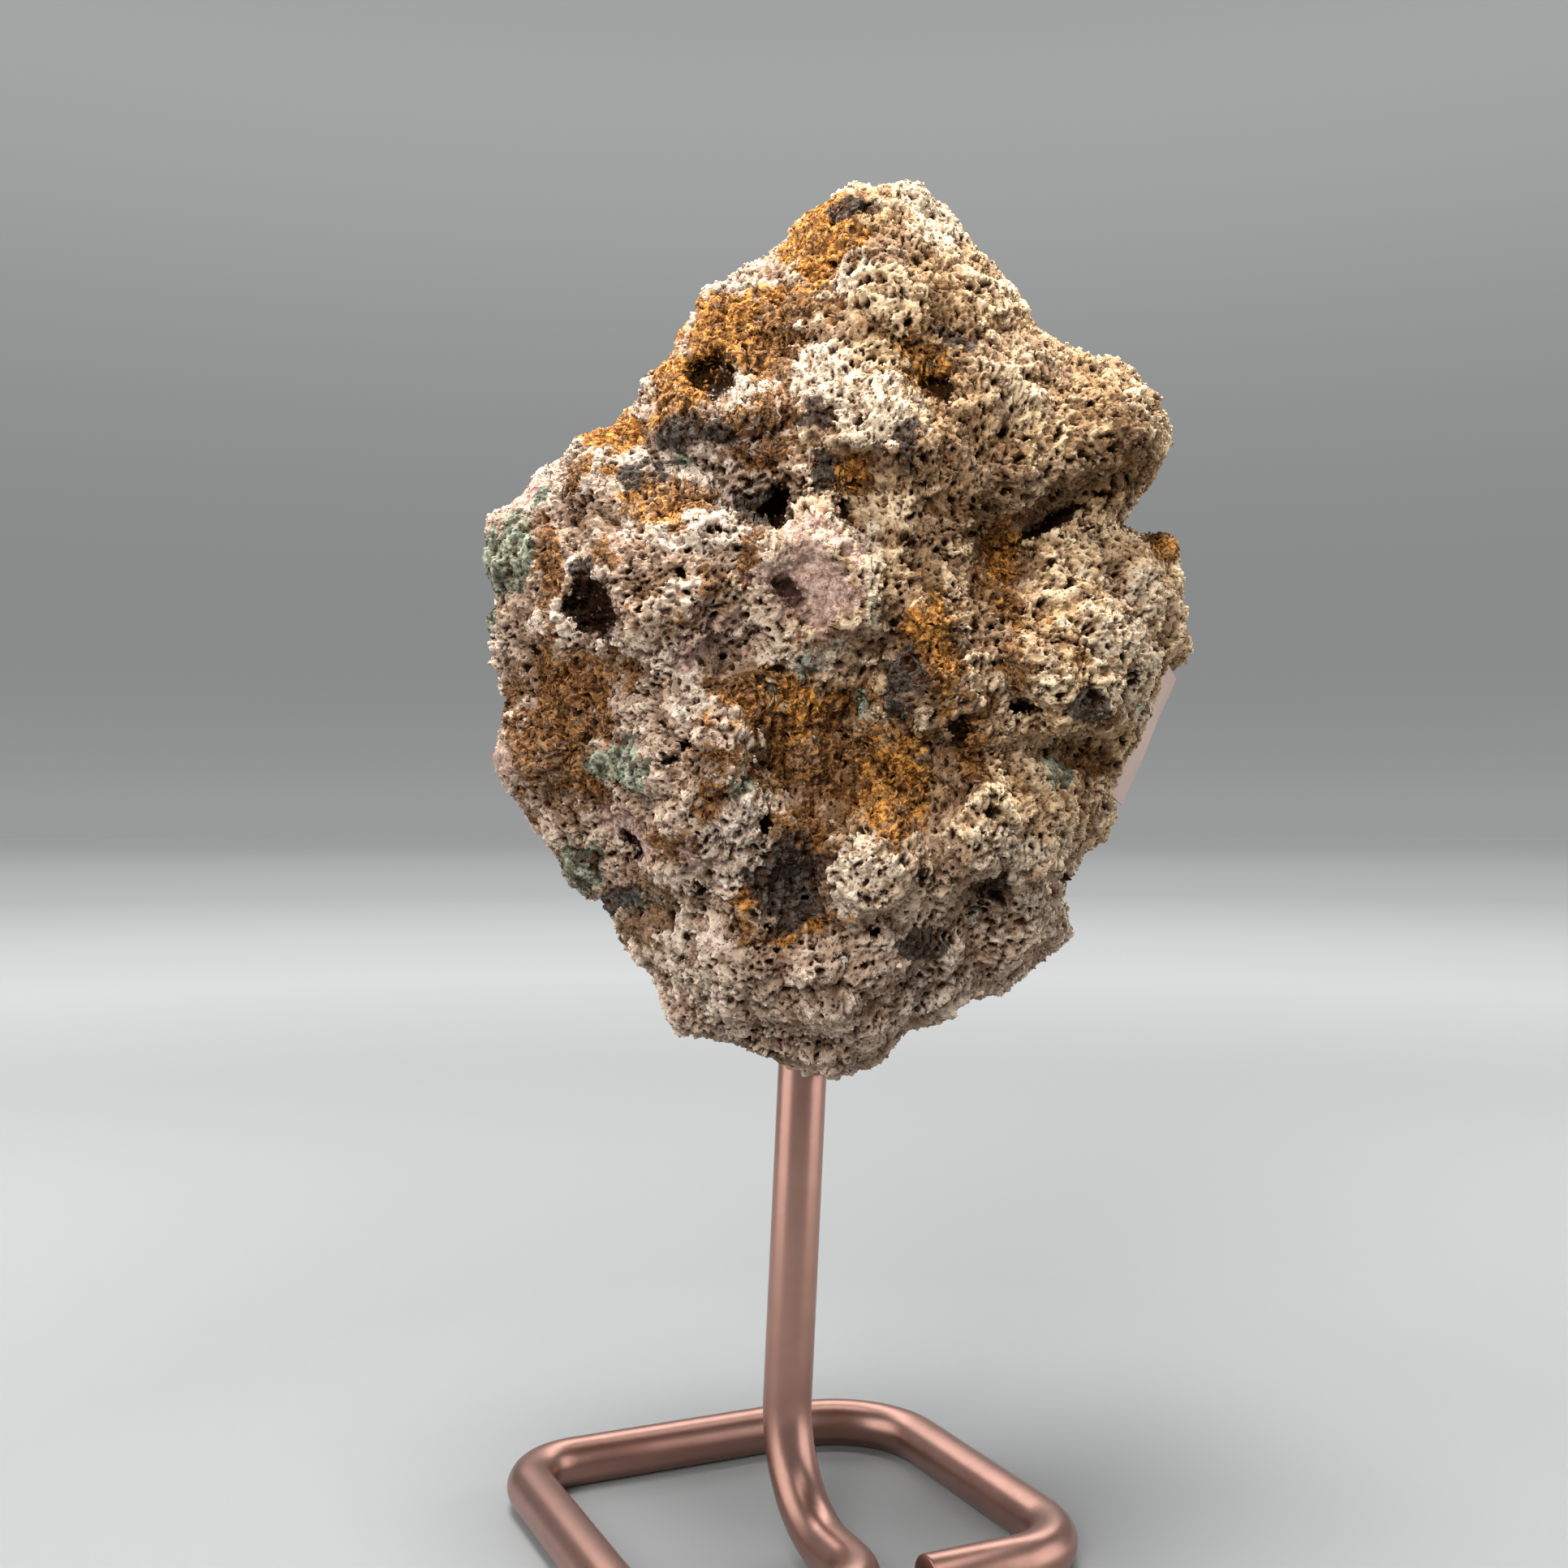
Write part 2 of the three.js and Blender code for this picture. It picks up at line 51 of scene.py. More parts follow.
EYE_HEIGHT = 58.8
EYE_ASIDE = 0.13
EYE_TILT = math.radians(0.93)
LENS = 39.13


def put(name, data):
    """A new object in the scene for a camera, a light or a mesh."""
    made = bpy.data.objects.new(name, data)
    bpy.context.scene.collection.objects.link(made)
    return made


eye = bpy.data.cameras.new("eye")
eye.lens = LENS
eye.sensor_width = 36.0
eye.clip_start = 0.01
eye_object = put("eye", eye)
eye_object.location = (ROD_FOOT + Vector((EYE_ASIDE, -EYE_DISTANCE, EYE_HEIGHT))) * MM
eye_object.rotation_euler = (math.pi / 2 + EYE_TILT, 0.0, 0.0)
bpy.context.scene.camera = eye_object
bpy.context.scene.view_settings.view_transform = "Standard"


# ------------------------ studio
# A pale table top in a grey room. Soft boxes light the specimen from above, from the
# front and from both sides, and dim cards give the metal something to mirror.
FLOOR_REACH = 4.0
LIGHTS_AIM = (0.0, 0.0, 60.0)


class Flow:
    """A number, vector or colour that flows along one shader link."""

    def __init__(self, paint, socket):
        self.paint = paint
        self.socket = socket

    def __add__(self, other):
        return self.paint.maths("ADD", self, other)

    def __sub__(self, other):
        return self.paint.maths("SUBTRACT", self, other)

    def __rsub__(self, other):
        return self.paint.maths("SUBTRACT", other, self)

    def __mul__(self, other):
        return self.paint.maths("MULTIPLY", self, other)


class Paint:
    """One material, or the room's wash of light, and the nodes that make it."""

    def __init__(self, name, kept_in=bpy.data.materials, shader="Principled BSDF", **constants):
        self.material = kept_in.new(name)
        self.material.use_nodes = True
        self.nodes = self.material.node_tree.nodes
        self.links = self.material.node_tree.links
        self.shader = self.nodes[shader]
        for socket, value in constants.items():
            self.shader.inputs[socket.replace("_", " ")].default_value = value

    def node(self, kind, settings=None, inputs=None, output=0, greys=()):
        made = self.nodes.new(kind)
        for name, value in (settings or {}).items():
            setattr(made, name, value)
        if greys:
            set_greys(made.color_ramp, greys)
        for name, value in (inputs or {}).items():
            socket = made.inputs[name]
            if isinstance(value, Flow):
                self.links.new(value.socket, socket)
            else:
                socket.default_value = value
        return Flow(self, made.outputs[output])

    def maths(self, operation, first, second):
        return self.node("ShaderNodeMath", {"operation": operation}, {0: first, 1: second})

    def measure(self, name):
        return self.node("ShaderNodeAttribute", {"attribute_name": name}, output=2)

    def place(self):
        return self.node("ShaderNodeTexCoord", output=3)

    def cloud(self, size_mm, detail=3.0, roughness=0.6):
        inputs = {"Vector": self.place(), "Scale": 1000.0 / size_mm,
                  "Detail": detail, "Roughness": roughness}
        return self.node("ShaderNodeTexNoise", None, inputs)

    def cells(self, size_mm):
        inputs = {"Vector": self.place(), "Scale": 1000.0 / size_mm}
        return self.node("ShaderNodeTexVoronoi", None, inputs)

    def rise(self, value, low, high):
        inputs = {0: value, 1: low, 2: high, 3: 0.0, 4: 1.0}
        return self.node("ShaderNodeMapRange", {"interpolation_type": "SMOOTHSTEP"}, inputs)

    def blend(self, share, first, second):
        inputs = {0: share, 6: first, 7: second}
        return self.node("ShaderNodeMix", {"data_type": "RGBA"}, inputs, output=2)

    def tones(self, share, first, second):
        """From one screen colour to another."""
        return self.blend(share, screen_colour(*first), screen_colour(*second))

    def relief(self, height, distance_mm, strength=1.0):
        inputs = {"Height": height, "Distance": distance_mm * MM, "Strength": strength}
        return self.node("ShaderNodeBump", None, inputs)

    def feed(self, **flows):
        for name, flow in flows.items():
            self.links.new(flow.socket, self.shader.inputs[name.replace("_", " ")])


def screen_colour(red, green, blue):
    """A colour as seen on a screen, 0 to 255, in the renderer's linear values."""
    channels = []
    for channel in (red, green, blue):
        share = channel / 255.0
        channels.append(share / 12.92 if share <= 0.04045 else ((share + 0.055) / 1.055) ** 2.4)
    return (*channels, 1.0)


def set_greys(ramp, greys):
    while len(ramp.elements) < len(greys):
        ramp.elements.new(1.0)
    for element, (position, grey) in zip(ramp.elements, greys):
        element.position = position
        element.color = screen_colour(grey, grey + 1, grey + 1)


def soft_box(name, place_mm, width_mm, height_mm, watts, spread=180.0, mirrored=False):
    light = bpy.data.lights.new(name, "AREA")
    light.shape = "RECTANGLE"
    light.size = width_mm * MM
    light.size_y = height_mm * MM
    light.energy = watts
    light.spread = math.radians(spread)
    lamp = put(name, light)
    place = Vector(place_mm) * MM
    lamp.location = place
    lamp.rotation_euler = (Vector(LIGHTS_AIM) * MM - place).to_track_quat("-Z", "Y").to_euler()
    lamp.visible_glossy = mirrored
    lamp.visible_diffuse = not mirrored
    return lamp


def mesh_object(name, shape, smooth=True):
    mesh = bpy.data.meshes.new(name)
    shape.to_mesh(mesh)
    shape.free()
    mesh.polygons.foreach_set("use_smooth", [smooth] * len(mesh.polygons))
    return put(name, mesh)


# The greys of the table from under the specimen to its far edge, and those of the room
# from the horizon up: share of the way, grey on a screen from 0 to 255. The table's greys
# are painted light and shade: dark under the specimen and brighter far off, where the
# lamps' light falls away.
FLOOR_GREYS = [(0.02, 114), (0.042, 129), (0.068, 142), (0.119, 173), (0.17, 180),
               (0.275, 178), (0.48, 208), (1.0, 252)]
ROOM_GREYS = [(0.0, 155), (0.03, 145), (0.08, 137), (0.15, 137), (0.28, 149), (0.42, 176), (0.8, 104)]

floor_shape = bmesh.new()
bmesh.ops.create_grid(floor_shape, x_segments=1, y_segments=1, size=FLOOR_REACH)
floor = mesh_object("table_top", floor_shape, smooth=False)
# Painted light: the table glows faintly in its own greys.
floor_paint = Paint("pale_table", Roughness=0.6, Emission_Strength=0.045)
floor_distance = floor_paint.node(
    "ShaderNodeVectorMath", {"operation": "LENGTH"}, {0: floor_paint.place()}, output=1)
floor_share = floor_distance * (1.0 / FLOOR_REACH)
floor_colour = floor_paint.node("ShaderNodeValToRGB", None, {0: floor_share}, greys=FLOOR_GREYS)
floor_paint.feed(Base_Color=floor_colour, Emission_Color=floor_colour)
floor.data.materials.append(floor_paint.material)

room_paint = Paint("room", bpy.data.worlds, "Background", Strength=1.0)
room_direction = room_paint.node("ShaderNodeTexCoord")
room_height = room_paint.node("ShaderNodeSeparateXYZ", None, {0: room_direction}, output=2)
room_wash = room_paint.node("ShaderNodeValToRGB", None, {0: room_height}, greys=ROOM_GREYS)
room_wash.socket.node.color_ramp.interpolation = "B_SPLINE"
room_paint.feed(Color=room_wash)
bpy.context.scene.world = room_paint.material

soft_box("overhead_box", (-120.0, -40.0, 1900.0), 900.0, 800.0, 55.0)
soft_box("near_box", (-30.0, -50.0, 330.0), 130.0, 120.0, 1.2)
soft_box("front_box", (-140.0, -400.0, 290.0), 180.0, 180.0, 2.55)
soft_box("left_box", (-400.0, 170.0, 170.0), 120.0, 260.0, 0.28, spread=60.0)
soft_box("right_box", (410.0, 170.0, 170.0), 120.0, 260.0, 0.25, spread=60.0)
# Broad, dim cards that show in shiny things alone. The two at the sides leave the table out.
without_table = bpy.data.collections.new("without_table")
without_table.objects.link(floor)
without_table.collection_objects[0].light_linking.link_state = "EXCLUDE"
left_card = soft_box("left_card", (-420.0, -100.0, 120.0), 420.0, 460.0, 1.1, mirrored=True)
right_card = soft_box("right_card", (420.0, -90.0, 120.0), 420.0, 460.0, 1.1, mirrored=True)
for card in (left_card, right_card):
    card.light_linking.receiver_collection = without_table
soft_box("back_card", (-40.0, 460.0, 500.0), 900.0, 260.0, 2.6, mirrored=True)
soft_box("top_card", (0.0, -60.0, 900.0), 700.0, 700.0, 4.0, mirrored=True)


# ------------------------ rock
# One naturally grown lump of matrix: a dry granular crust over an uneven core, with
# ledges, lobes and open vugs. Rust, soot-dark, umber, green, cream and lilac minerals lie
# in patches on it; the umber is partly painted shade in its crevices, and the cream partly
# a painted highlight where it faces up. It is drilled from below and glued on the rod.
ROCK_CENTRE = (4.4, 74.0)
ROCK_MIDDLE_Y = 1.0
FRONT_DEPTH = 17.5
BACK_DEPTH = 18.5
BLOCKINESS = 0.82
SMOOTHING_ANGLE = math.radians(28)
SMOOTHING_SAMPLES = 9
SEAM_WANDER = 3.0
RELIEF_FADE = 0.38
RUGGED_SIZE, RUGGED_HEIGHT = 7.0, 1.3
KNOBBLY_SIZE, KNOBBLY_HEIGHT = 3.4, 0.8
ROCK_CUTS = 127
BACK_CROWDING = 0.35
CRUST_CUTS = 310
CRUST_REACH = math.radians(104)
CRUST_OVERLAP, CRUST_BLEND, CRUST_RIM = math.radians(3), math.radians(4), math.radians(1.5)
CRUST_CROWDING = 0.3
CRUST_DEPTH = 1.7
BIG_KNOB_SIZE, BIG_KNOB_HEIGHT = 5.0, 2.3
KNOB_SIZE, KNOB_HEIGHT = 2.4, 0.9
SMALL_KNOB_SIZE, SMALL_KNOB_HEIGHT = 0.95, 0.4
CREST_SIZE, CREST_HEIGHT = 2.7, 0.8
WIDE_PIT_SIZE, WIDE_PIT_DEPTH = 1.0, 0.85
SMALL_PIT_SIZE, SMALL_PIT_DEPTH = 0.58, 0.45
WRINKLE_SIZE, WRINKLE_HEIGHT = 0.5, 0.18
SPLINTER_HEIGHT = 0.22
# The facet that carries the paper slip runs on beyond it, and falls away behind it.
SLIP_CENTRE = np.array((30.7, 4.6, 65.4))
SLIP_DOWN = np.array((-0.39, 0.0, -0.92)) / math.hypot(0.39, 0.92)
SLIP_ACROSS = np.array((0.37, 0.93, 0.0))
SLIP_ACROSS = SLIP_ACROSS - SLIP_DOWN * SLIP_ACROSS.dot(SLIP_DOWN)
SLIP_ACROSS = SLIP_ACROSS / np.linalg.norm(SLIP_ACROSS)
SLIP_OUT = np.cross(SLIP_DOWN, SLIP_ACROSS)
SLIP_LENGTH, SLIP_WIDTH = 12.0, 8.0
FACET_AHEAD, FACET_BEHIND = 6.0, 8.0
BED_DROP = 0.25
LIP_RISE = 0.75
FALL_BEHIND = 0.3

ROCK_OUTLINE = [
    (6, 110.3), (8.3, 110.1), (10.9, 109.8), (13.5, 108.1), (15.3, 105.5), (17.9, 102.6), (20.7, 98.5),
    (22.8, 96.8), (25.3, 96), (27.5, 95.7), (29, 94.3), (30.7, 92.8), (31.2, 88.7), (30, 85.8),
    (27.7, 83.7), (26.7, 82.8), (27.1, 81.7), (27.9, 81.3), (29.8, 80.8), (31.5, 80.7), (32.5, 77.1),
    (33.3, 72.8), (33.1, 71.3), (32.2, 70.2), (31.4, 67.9), (30.2, 65.1), (28.6, 61.9), (27, 59.6),
    (26.1, 56.9), (24.2, 55.3), (22.3, 53.3), (22.5, 50.3), (22.7, 49.2), (21.1, 46.9), (17.5, 44.9),
    (13.6, 43.2), (9.8, 40.6), (6.7, 38.1), (4.2, 37.2), (3.1, 37.9), (-0.5, 38.5), (-3.1, 40),
    (-5.7, 40.6), (-8.2, 41.3), (-9.5, 43.9), (-11.3, 46.9), (-12.7, 49.4), (-14.3, 52.2), (-17.1, 53.1),
    (-18.5, 55.7), (-20.3, 58.9), (-22.2, 61), (-23.3, 61.9), (-23.6, 63.3), (-22.6, 65.9), (-22.1, 68.1),
    (-23, 71), (-23.5, 74.9), (-22.8, 76.9), (-24.1, 79.7), (-23.7, 82.8), (-21.5, 84.7), (-18.5, 87.3),
    (-15.3, 89.3), (-13.1, 90.1), (-11.6, 92.7), (-9, 95.7), (-6.9, 99.2), (-5.8, 101.7), (-3.7, 102.8),
    (-0.9, 104.7), (1.1, 106.3), (2.4, 107.9), (4.3, 109.4),
]

# Lumps and hollows: across, up, half width, half height, turn, height, steep edge.
FRONT_RELIEF = [
    (10, 103, 5.5, 6, 0, 1.8, False),  # top shoulder
    (-1, 99, 7, 6, 45, -2.6, False),  # top flank slope
    (-1.9, 92.6, 5.6, 1.7, 20, 1.9, False),  # ledge under the upper vug
    (7.2, 90.8, 6, 3, -30, 2.8, True),  # brow
    (7.8, 88, 4.6, 3.8, -10, 1.2, False),  # face of the brow
    (7.4, 86, 3, 2, 0, -1.8, False),  # rusty pit in the brow
    (7.6, 82.9, 5.2, 2.2, -10, -1.6, False),  # undercut below the brow
    (11.6, 94.9, 2.4, 1.9, -25, -3.4, False),  # upper pit
    (19, 90, 7, 6, -40, 1.6, False),  # right face
    (28.2, 89.6, 3.6, 4.2, 0, 3.8, False),  # right lobe
    (22.2, 84, 4.8, 2.1, 27, -3.4, False),  # crevice under the right lobe
    (18.6, 79.6, 2.4, 3.2, -20, -3.2, False),  # pocket at the crevice's end
    (-6, 86.6, 8.5, 2.2, -22, -2.4, False),  # dark band
    (-0.2, 83.8, 2.4, 2.2, 0, -2.6, False),  # dip round the cross-shaped hole
    (3, 77.9, 5.2, 6, 10, 3.8, True),  # middle boss
    (2, 77.2, 3, 3.4, 20, -3, True),  # lilac hollow in the boss
    (-9.6, 77.8, 6.6, 5.4, 15, 3.8, True),  # left boss
    (-21.6, 79.6, 2.6, 3.2, 0, 1.8, False),  # left nub
    (-17.6, 82, 2.6, 3.6, 35, -2.2, False),  # left step
    (-17.6, 67.6, 4.6, 5.6, 0, -2.4, False),  # rusty flank
    (-6.6, 61.6, 4, 7.6, 12, 3.4, True),  # pillar
    (5.2, 64.6, 5.2, 7.2, -8, -3.4, False),  # valley
    (11.8, 70.4, 2, 4.6, 8, 1.9, False),  # rib in the valley
    (24.4, 70.8, 5.8, 6, -20, 4.4, True),  # right mass
    (18.8, 68, 2.7, 2.6, 30, -3, False),  # notch beside the right mass
    (22, 63.6, 4.2, 2.1, 12, -2.8, False),  # undercut below the right mass
    (18, 57, 5.4, 5, 0, 3, True),  # lower right mass
    (17.2, 52.3, 2.2, 1.8, 0, -2.2, False),  # green pit
    (7.4, 54.2, 3.6, 4.4, 0, 3, True),  # lower lump
    (1.6, 51.8, 3, 3.4, 0, -3, False),  # dark pit
    (2, 45.4, 9, 3.4, -4, 2, False),  # foot shelf
    (-14.6, 56.4, 5.4, 2.4, -28, -1.8, False),  # left ledge
]
BACK_RELIEF = [
    (2.5, 76, 11, 14, 12, -4.2, True),  # bowl lined with small crystals
    (17, 92, 7, 6, -35, 2.4, False),  # back shoulder
    (-14, 66, 6, 8, 20, 2.2, False),  # back hip
    (15, 57, 6, 5, 0, 2.8, True),  # back knob
    (-8, 92, 2.6, 7, -40, -2.8, False),  # back cleft
    (1, 47, 7, 4, 0, 1.6, False),  # back foot
]
# Open holes of the front: across, up, half width, half height, turn, depth.
HOLES = [
    (-15.5, 75.7, 1.9, 2.2, 0, 3.6), (-5.9, 94.7, 1.95, 1.8, 0, 2.8), (-12.2, 56.2, 1.7, 0.75, -5, 2.4),
    (-7.7, 64.7, 0.6, 0.7, 0, 1.6), (-8.7, 63.6, 0.6, 0.5, 0, 1.4), (-1.5, 58.1, 0.7, 1.1, 0, 2),
    (-6.3, 52.7, 0.9, 0.5, 20, 1.3), (4.9, 62.5, 0.5, 0.6, 0, 1.1), (10.9, 53.9, 0.5, 0.5, 0, 1),
    (7.3, 49.1, 0.6, 0.5, 0, 1), (-0.4, 83.9, 1, 2.1, 10, 2.4), (-0.4, 83.6, 1.9, 0.8, 15, 2),
    (5.1, 83.6, 0.8, 0.8, 0, 1.4), (12.6, 93.2, 1.7, 0.8, -20, 1.7), (19.1, 67.4, 1.5, 0.7, 0, 1.8),
    (14.3, 65.8, 0.9, 1.5, 15, 1.5), (23, 83, 3, 0.8, 27, 1.8), (7.1, 107, 0.9, 0.8, 0, 0.9),
    (0.3, 77.1, 1.5, 0.8, -25, 1.2), (1, 76, 0.9, 0.6, 0, 1), (5.3, 80.4, 0.7, 0.4, -40, 0.6),
]
# Patches of each mineral on the front, then on the back, as the holes but with a strength.
# The umber patches are partly painted shade, and the cream ones partly painted highlight.
RUST = ([
    (3.6, 105.2, 3.6, 2.8, 40, 1.3), (-0.3, 99, 4.8, 3.2, 40, 1.3), (-4.6, 98, 2.8, 2, 25, 1.3),
    (-8.3, 93.3, 2, 3.4, -35, 1.43), (-12.9, 89.6, 3.2, 1.3, 25, 1.3), (11.3, 95, 2.2, 2.2, 0, 1.17),
    (5.8, 86.4, 1.9, 1.6, 0, 1.3), (-0.6, 92.4, 2.6, 1.4, 0, 0.95), (-19.6, 79.6, 1.7, 3, 0, 1.04),
    (-18.3, 66, 4, 6.2, 0, 1.3), (-14.8, 70.4, 3.4, 2, 0, 0.91), (4, 64, 8, 4.2, 0, 1.23),
    (-1.4, 68.1, 3.8, 2.8, 0, 1.3), (9, 60.6, 3.2, 3.6, 0, 1.3), (11.9, 72.4, 2, 4.8, 8, 1.23),
    (18.4, 80.1, 1.6, 3.2, -15, 1.23), (19.1, 71, 1.5, 2.2, 0, 1.1), (25.1, 62.3, 2, 1.6, 0, 0.98),
    (31, 80.2, 1.7, 0.8, 0, 1.3), (-2.9, 51.6, 1.6, 2.2, 0, 1.1), (1.6, 49.7, 3.6, 0.8, 12, 1.3),
    (1.6, 57.4, 2.6, 3.4, 0, 0.91), (-11.2, 83.4, 4, 1.4, -20, 0.78), (-5.6, 60.2, 1.4, 2.2, 0, 0.72),
    (15.4, 64.4, 1, 3.4, 0, 1.04), (-2.5, 79.4, 0.8, 2.2, -10, 1.4), (-14, 79.4, 1.2, 1.6, 0, 1),
    (-9.6, 57, 3, 1.4, -20, 1), (-9, 84.8, 4, 1.3, -20, 0.95), (-3, 91.2, 2.4, 1, 10, 0.9),
    (-16.4, 86, 2.2, 1.2, 20, 0.9), (-1, 89, 3.6, 1.6, 10, 0.9), (24.1, 71.2, 1.3, 0.7, -10, 1),
    (18.3, 76.1, 1.3, 1.8, 0, 1), (19.5, 73, 0.8, 1.6, 0, 0.9), (26.8, 67, 0.8, 1.1, 0, 0.9),
    (14.4, 75, 1.2, 1.6, 0, 0.8), (3, 72, 40, 44, 0, 0.18),
], [
    (-10, 93, 4.6, 3.4, 35, 1), (-16, 72, 4, 6, 0, 0.9), (14, 55, 6, 3, 20, 0.9),
    (22, 84, 3.6, 5, -20, 0.8), (6, 102, 4, 2.6, 0, 0.8), (-4, 50, 4.6, 2.4, 0, 0.7),
])
SOOT = ([
    (-6.6, 90, 3.2, 1.2, 10, 1.15), (2.8, 92.2, 1.3, 1.2, 0, 0.95), (-11.4, 85.8, 2.6, 1.3, 20, 0.9),
    (-1.6, 83.8, 2.6, 1.6, 0, 1.3), (3.2, 87.8, 0.9, 2.2, 0, 1.08), (6, 107.4, 2, 1.2, 0, 1.08),
    (24.3, 68.1, 1.6, 1.2, 0, 1.22), (0.7, 53, 3.2, 3.2, 0, 1.5), (11.3, 47.3, 2.5, 1.3, -10, 1.22),
    (17.1, 52.3, 1.5, 1.2, 0, 1.35), (10.4, 89.3, 1.1, 1.7, 0, 1.08), (-15, 75.2, 1.6, 2, 0, 1.08),
    (10.3, 69.6, 2.1, 3.6, 5, 0.95), (14.6, 97, 2.6, 2.2, 0, 0.68), (-13.6, 51.4, 1.8, 0.9, 0, 1.1),
    (-15.6, 78.6, 1.4, 0.8, 0, 0.9),
], [
    (-8, 88, 2, 5, -40, 0.8), (19, 66, 2.4, 2, 0, 0.8),
])
GREEN = ([
    (-22.3, 79.9, 1.8, 2.8, 0, 1.2), (-19.4, 84.5, 1.2, 0.9, 0, 1), (-12.5, 62.9, 3.4, 1.7, -15, 1.2),
    (1.6, 70.8, 3.6, 1.4, 25, 0.62), (-2.6, 101.3, 1.1, 0.8, 0, 0.9), (-16.8, 54.3, 1.9, 1.5, -30, 1.1),
    (22.5, 61.8, 1.1, 1.5, 0, 0.8), (-11.9, 50.9, 1.5, 0.9, 0, 0.8), (6.4, 68.3, 1.5, 1.5, 0, 0.55),
    (-3.4, 61, 1, 1.2, 0, 0.6), (17.1, 52.2, 1.4, 1.1, 0, 0.6), (-8, 88.2, 1.8, 0.8, 0, 0.5),
    (28.9, 67.2, 0.7, 1.2, 0, 0.8), (25.7, 70.3, 1.2, 0.7, 0, 0.55), (-23.6, 75, 0.8, 2.4, 0, 0.8),
], [
    (-14, 82, 2.6, 2, 0, 1), (23, 74, 2, 2.6, 0, 0.8),
])
LILAC = ([
    (2.6, 78.1, 4, 3.6, 20, 1.2), (-13, 57.4, 3.2, 1.7, -15, 1), (-23.3, 63.1, 0.9, 1.5, 0, 1.2),
    (-21.6, 85, 2.4, 1.3, 35, 1), (-7.2, 73.2, 3.2, 3, 0, 0.4), (-6, 56.2, 2.2, 1.6, 0, 0.5),
], [
    (2.5, 76, 9.5, 12.5, 12, 1.35),
])
# Cream: pale patches, partly the crust's own cream and partly a painted highlight on the up-facing brow, the
# top flank and the top edges.
CREAM_AND_HIGHLIGHT = ([
    (-7.7, 88.2, 2.6, 1.2, 0, 1.2), (-15, 86.4, 3, 1.4, 15, 1.25), (-6.6, 85.2, 3.2, 1.2, -10, 1.1),
    (-11.6, 82.6, 2, 0.9, 0, 0.9), (-2.4, 90, 2.8, 1.1, -10, 1), (12.4, 108.3, 3.4, 2, -35, 1.1),
    (-8.7, 82, 5, 1.6, -8, 1), (0.2, 94.4, 6, 2.4, 10, 1), (6.8, 91.6, 4.4, 2.8, -10, 1.1),
    (-7.4, 67.3, 1.3, 2.6, 0, 1.1), (-18.3, 74.3, 2.8, 1.6, 0, 0.9), (17.7, 56.1, 2.4, 2.2, 0, 0.8),
    (-4.8, 56.4, 3, 3.6, 0, 0.75), (6.4, 54.3, 3, 2.8, 0, 0.7), (-20.4, 86, 3.6, 1.2, 40, 1.3),
    (4.6, 81.6, 3, 0.9, 0, 0.9), (28, 71.4, 3.4, 4.4, 0, 0.7), (26.4, 76.4, 3.6, 2.6, 0, 0.6),
    (22, 55, 3, 3, 0, 0.5), (29.4, 68, 1, 2.8, 10, 1), (2, 71.6, 4.4, 1.2, 15, 0.7),
    (6.6, 66.4, 1.6, 1.6, 0, 0.85), (0.6, 62.6, 2, 1.4, 0, 0.7), (-3.6, 95.6, 2.4, 1.1, 10, 1.1),
    (5.4, 102.2, 2.6, 1.5, 10, 0.8), (-1.6, 101.8, 2.2, 1.2, 10, 0.9), (2, 43, 16, 4.6, 0, 0.42),
    (17, 51, 6, 6, 0, 0.45), (-8, 47, 4, 5, 0, 0.4), (7.2, 78, 0.9, 4.4, 0, 1.1),
    (3.4, 82.2, 3, 0.9, 0, 0.9),
], [
    (14, 90, 5, 3, 0, 0.8), (-9, 60, 4, 3, 0, 0.8),
])
# Umber: dark brown patches, partly the rock's own brown and partly painted shade in the crevice under the
# right lobe, its pocket, the valley, the dark pit and the left boss's creases.
UMBER_AND_SHADE = ([
    (15.7, 86, 5, 4.4, 0, 1), (12, 80, 2.6, 3.6, 0, 0.8), (1.4, 54, 4.6, 4.6, 0, 1),
    (5, 63.4, 9, 5.2, 0, 1), (-19, 69, 3.6, 5, 0, 0.9), (14.6, 64.2, 3, 4.6, 0, 1),
    (-3, 84, 5, 2.4, 0, 0.6), (-11, 51, 3.4, 3.4, 0, 0.8), (19, 79.4, 3.4, 4, 0, 0.8),
    (11, 71, 3.6, 6, 0, 0.8), (-15, 83, 2.6, 1.2, 0, 0.6), (14, 98.6, 3, 4, 0, 0.6),
    (-16, 60, 4, 3, 0, 0.7), (22, 84, 5, 2, 27, 0.9), (27.6, 88.6, 4, 5, 0, 0.85),
    (-8.4, 76.4, 4.2, 3.6, 0, 0.55), (3.4, 74.4, 3.6, 2, 0, 0.5), (-14.5, 72, 2, 2, 0, 0.7),
], [
    (-2, 92, 8, 4, 0, 0.8), (20, 74, 4, 8, 0, 0.8), (-6, 54, 8, 4, 0, 0.9),
])
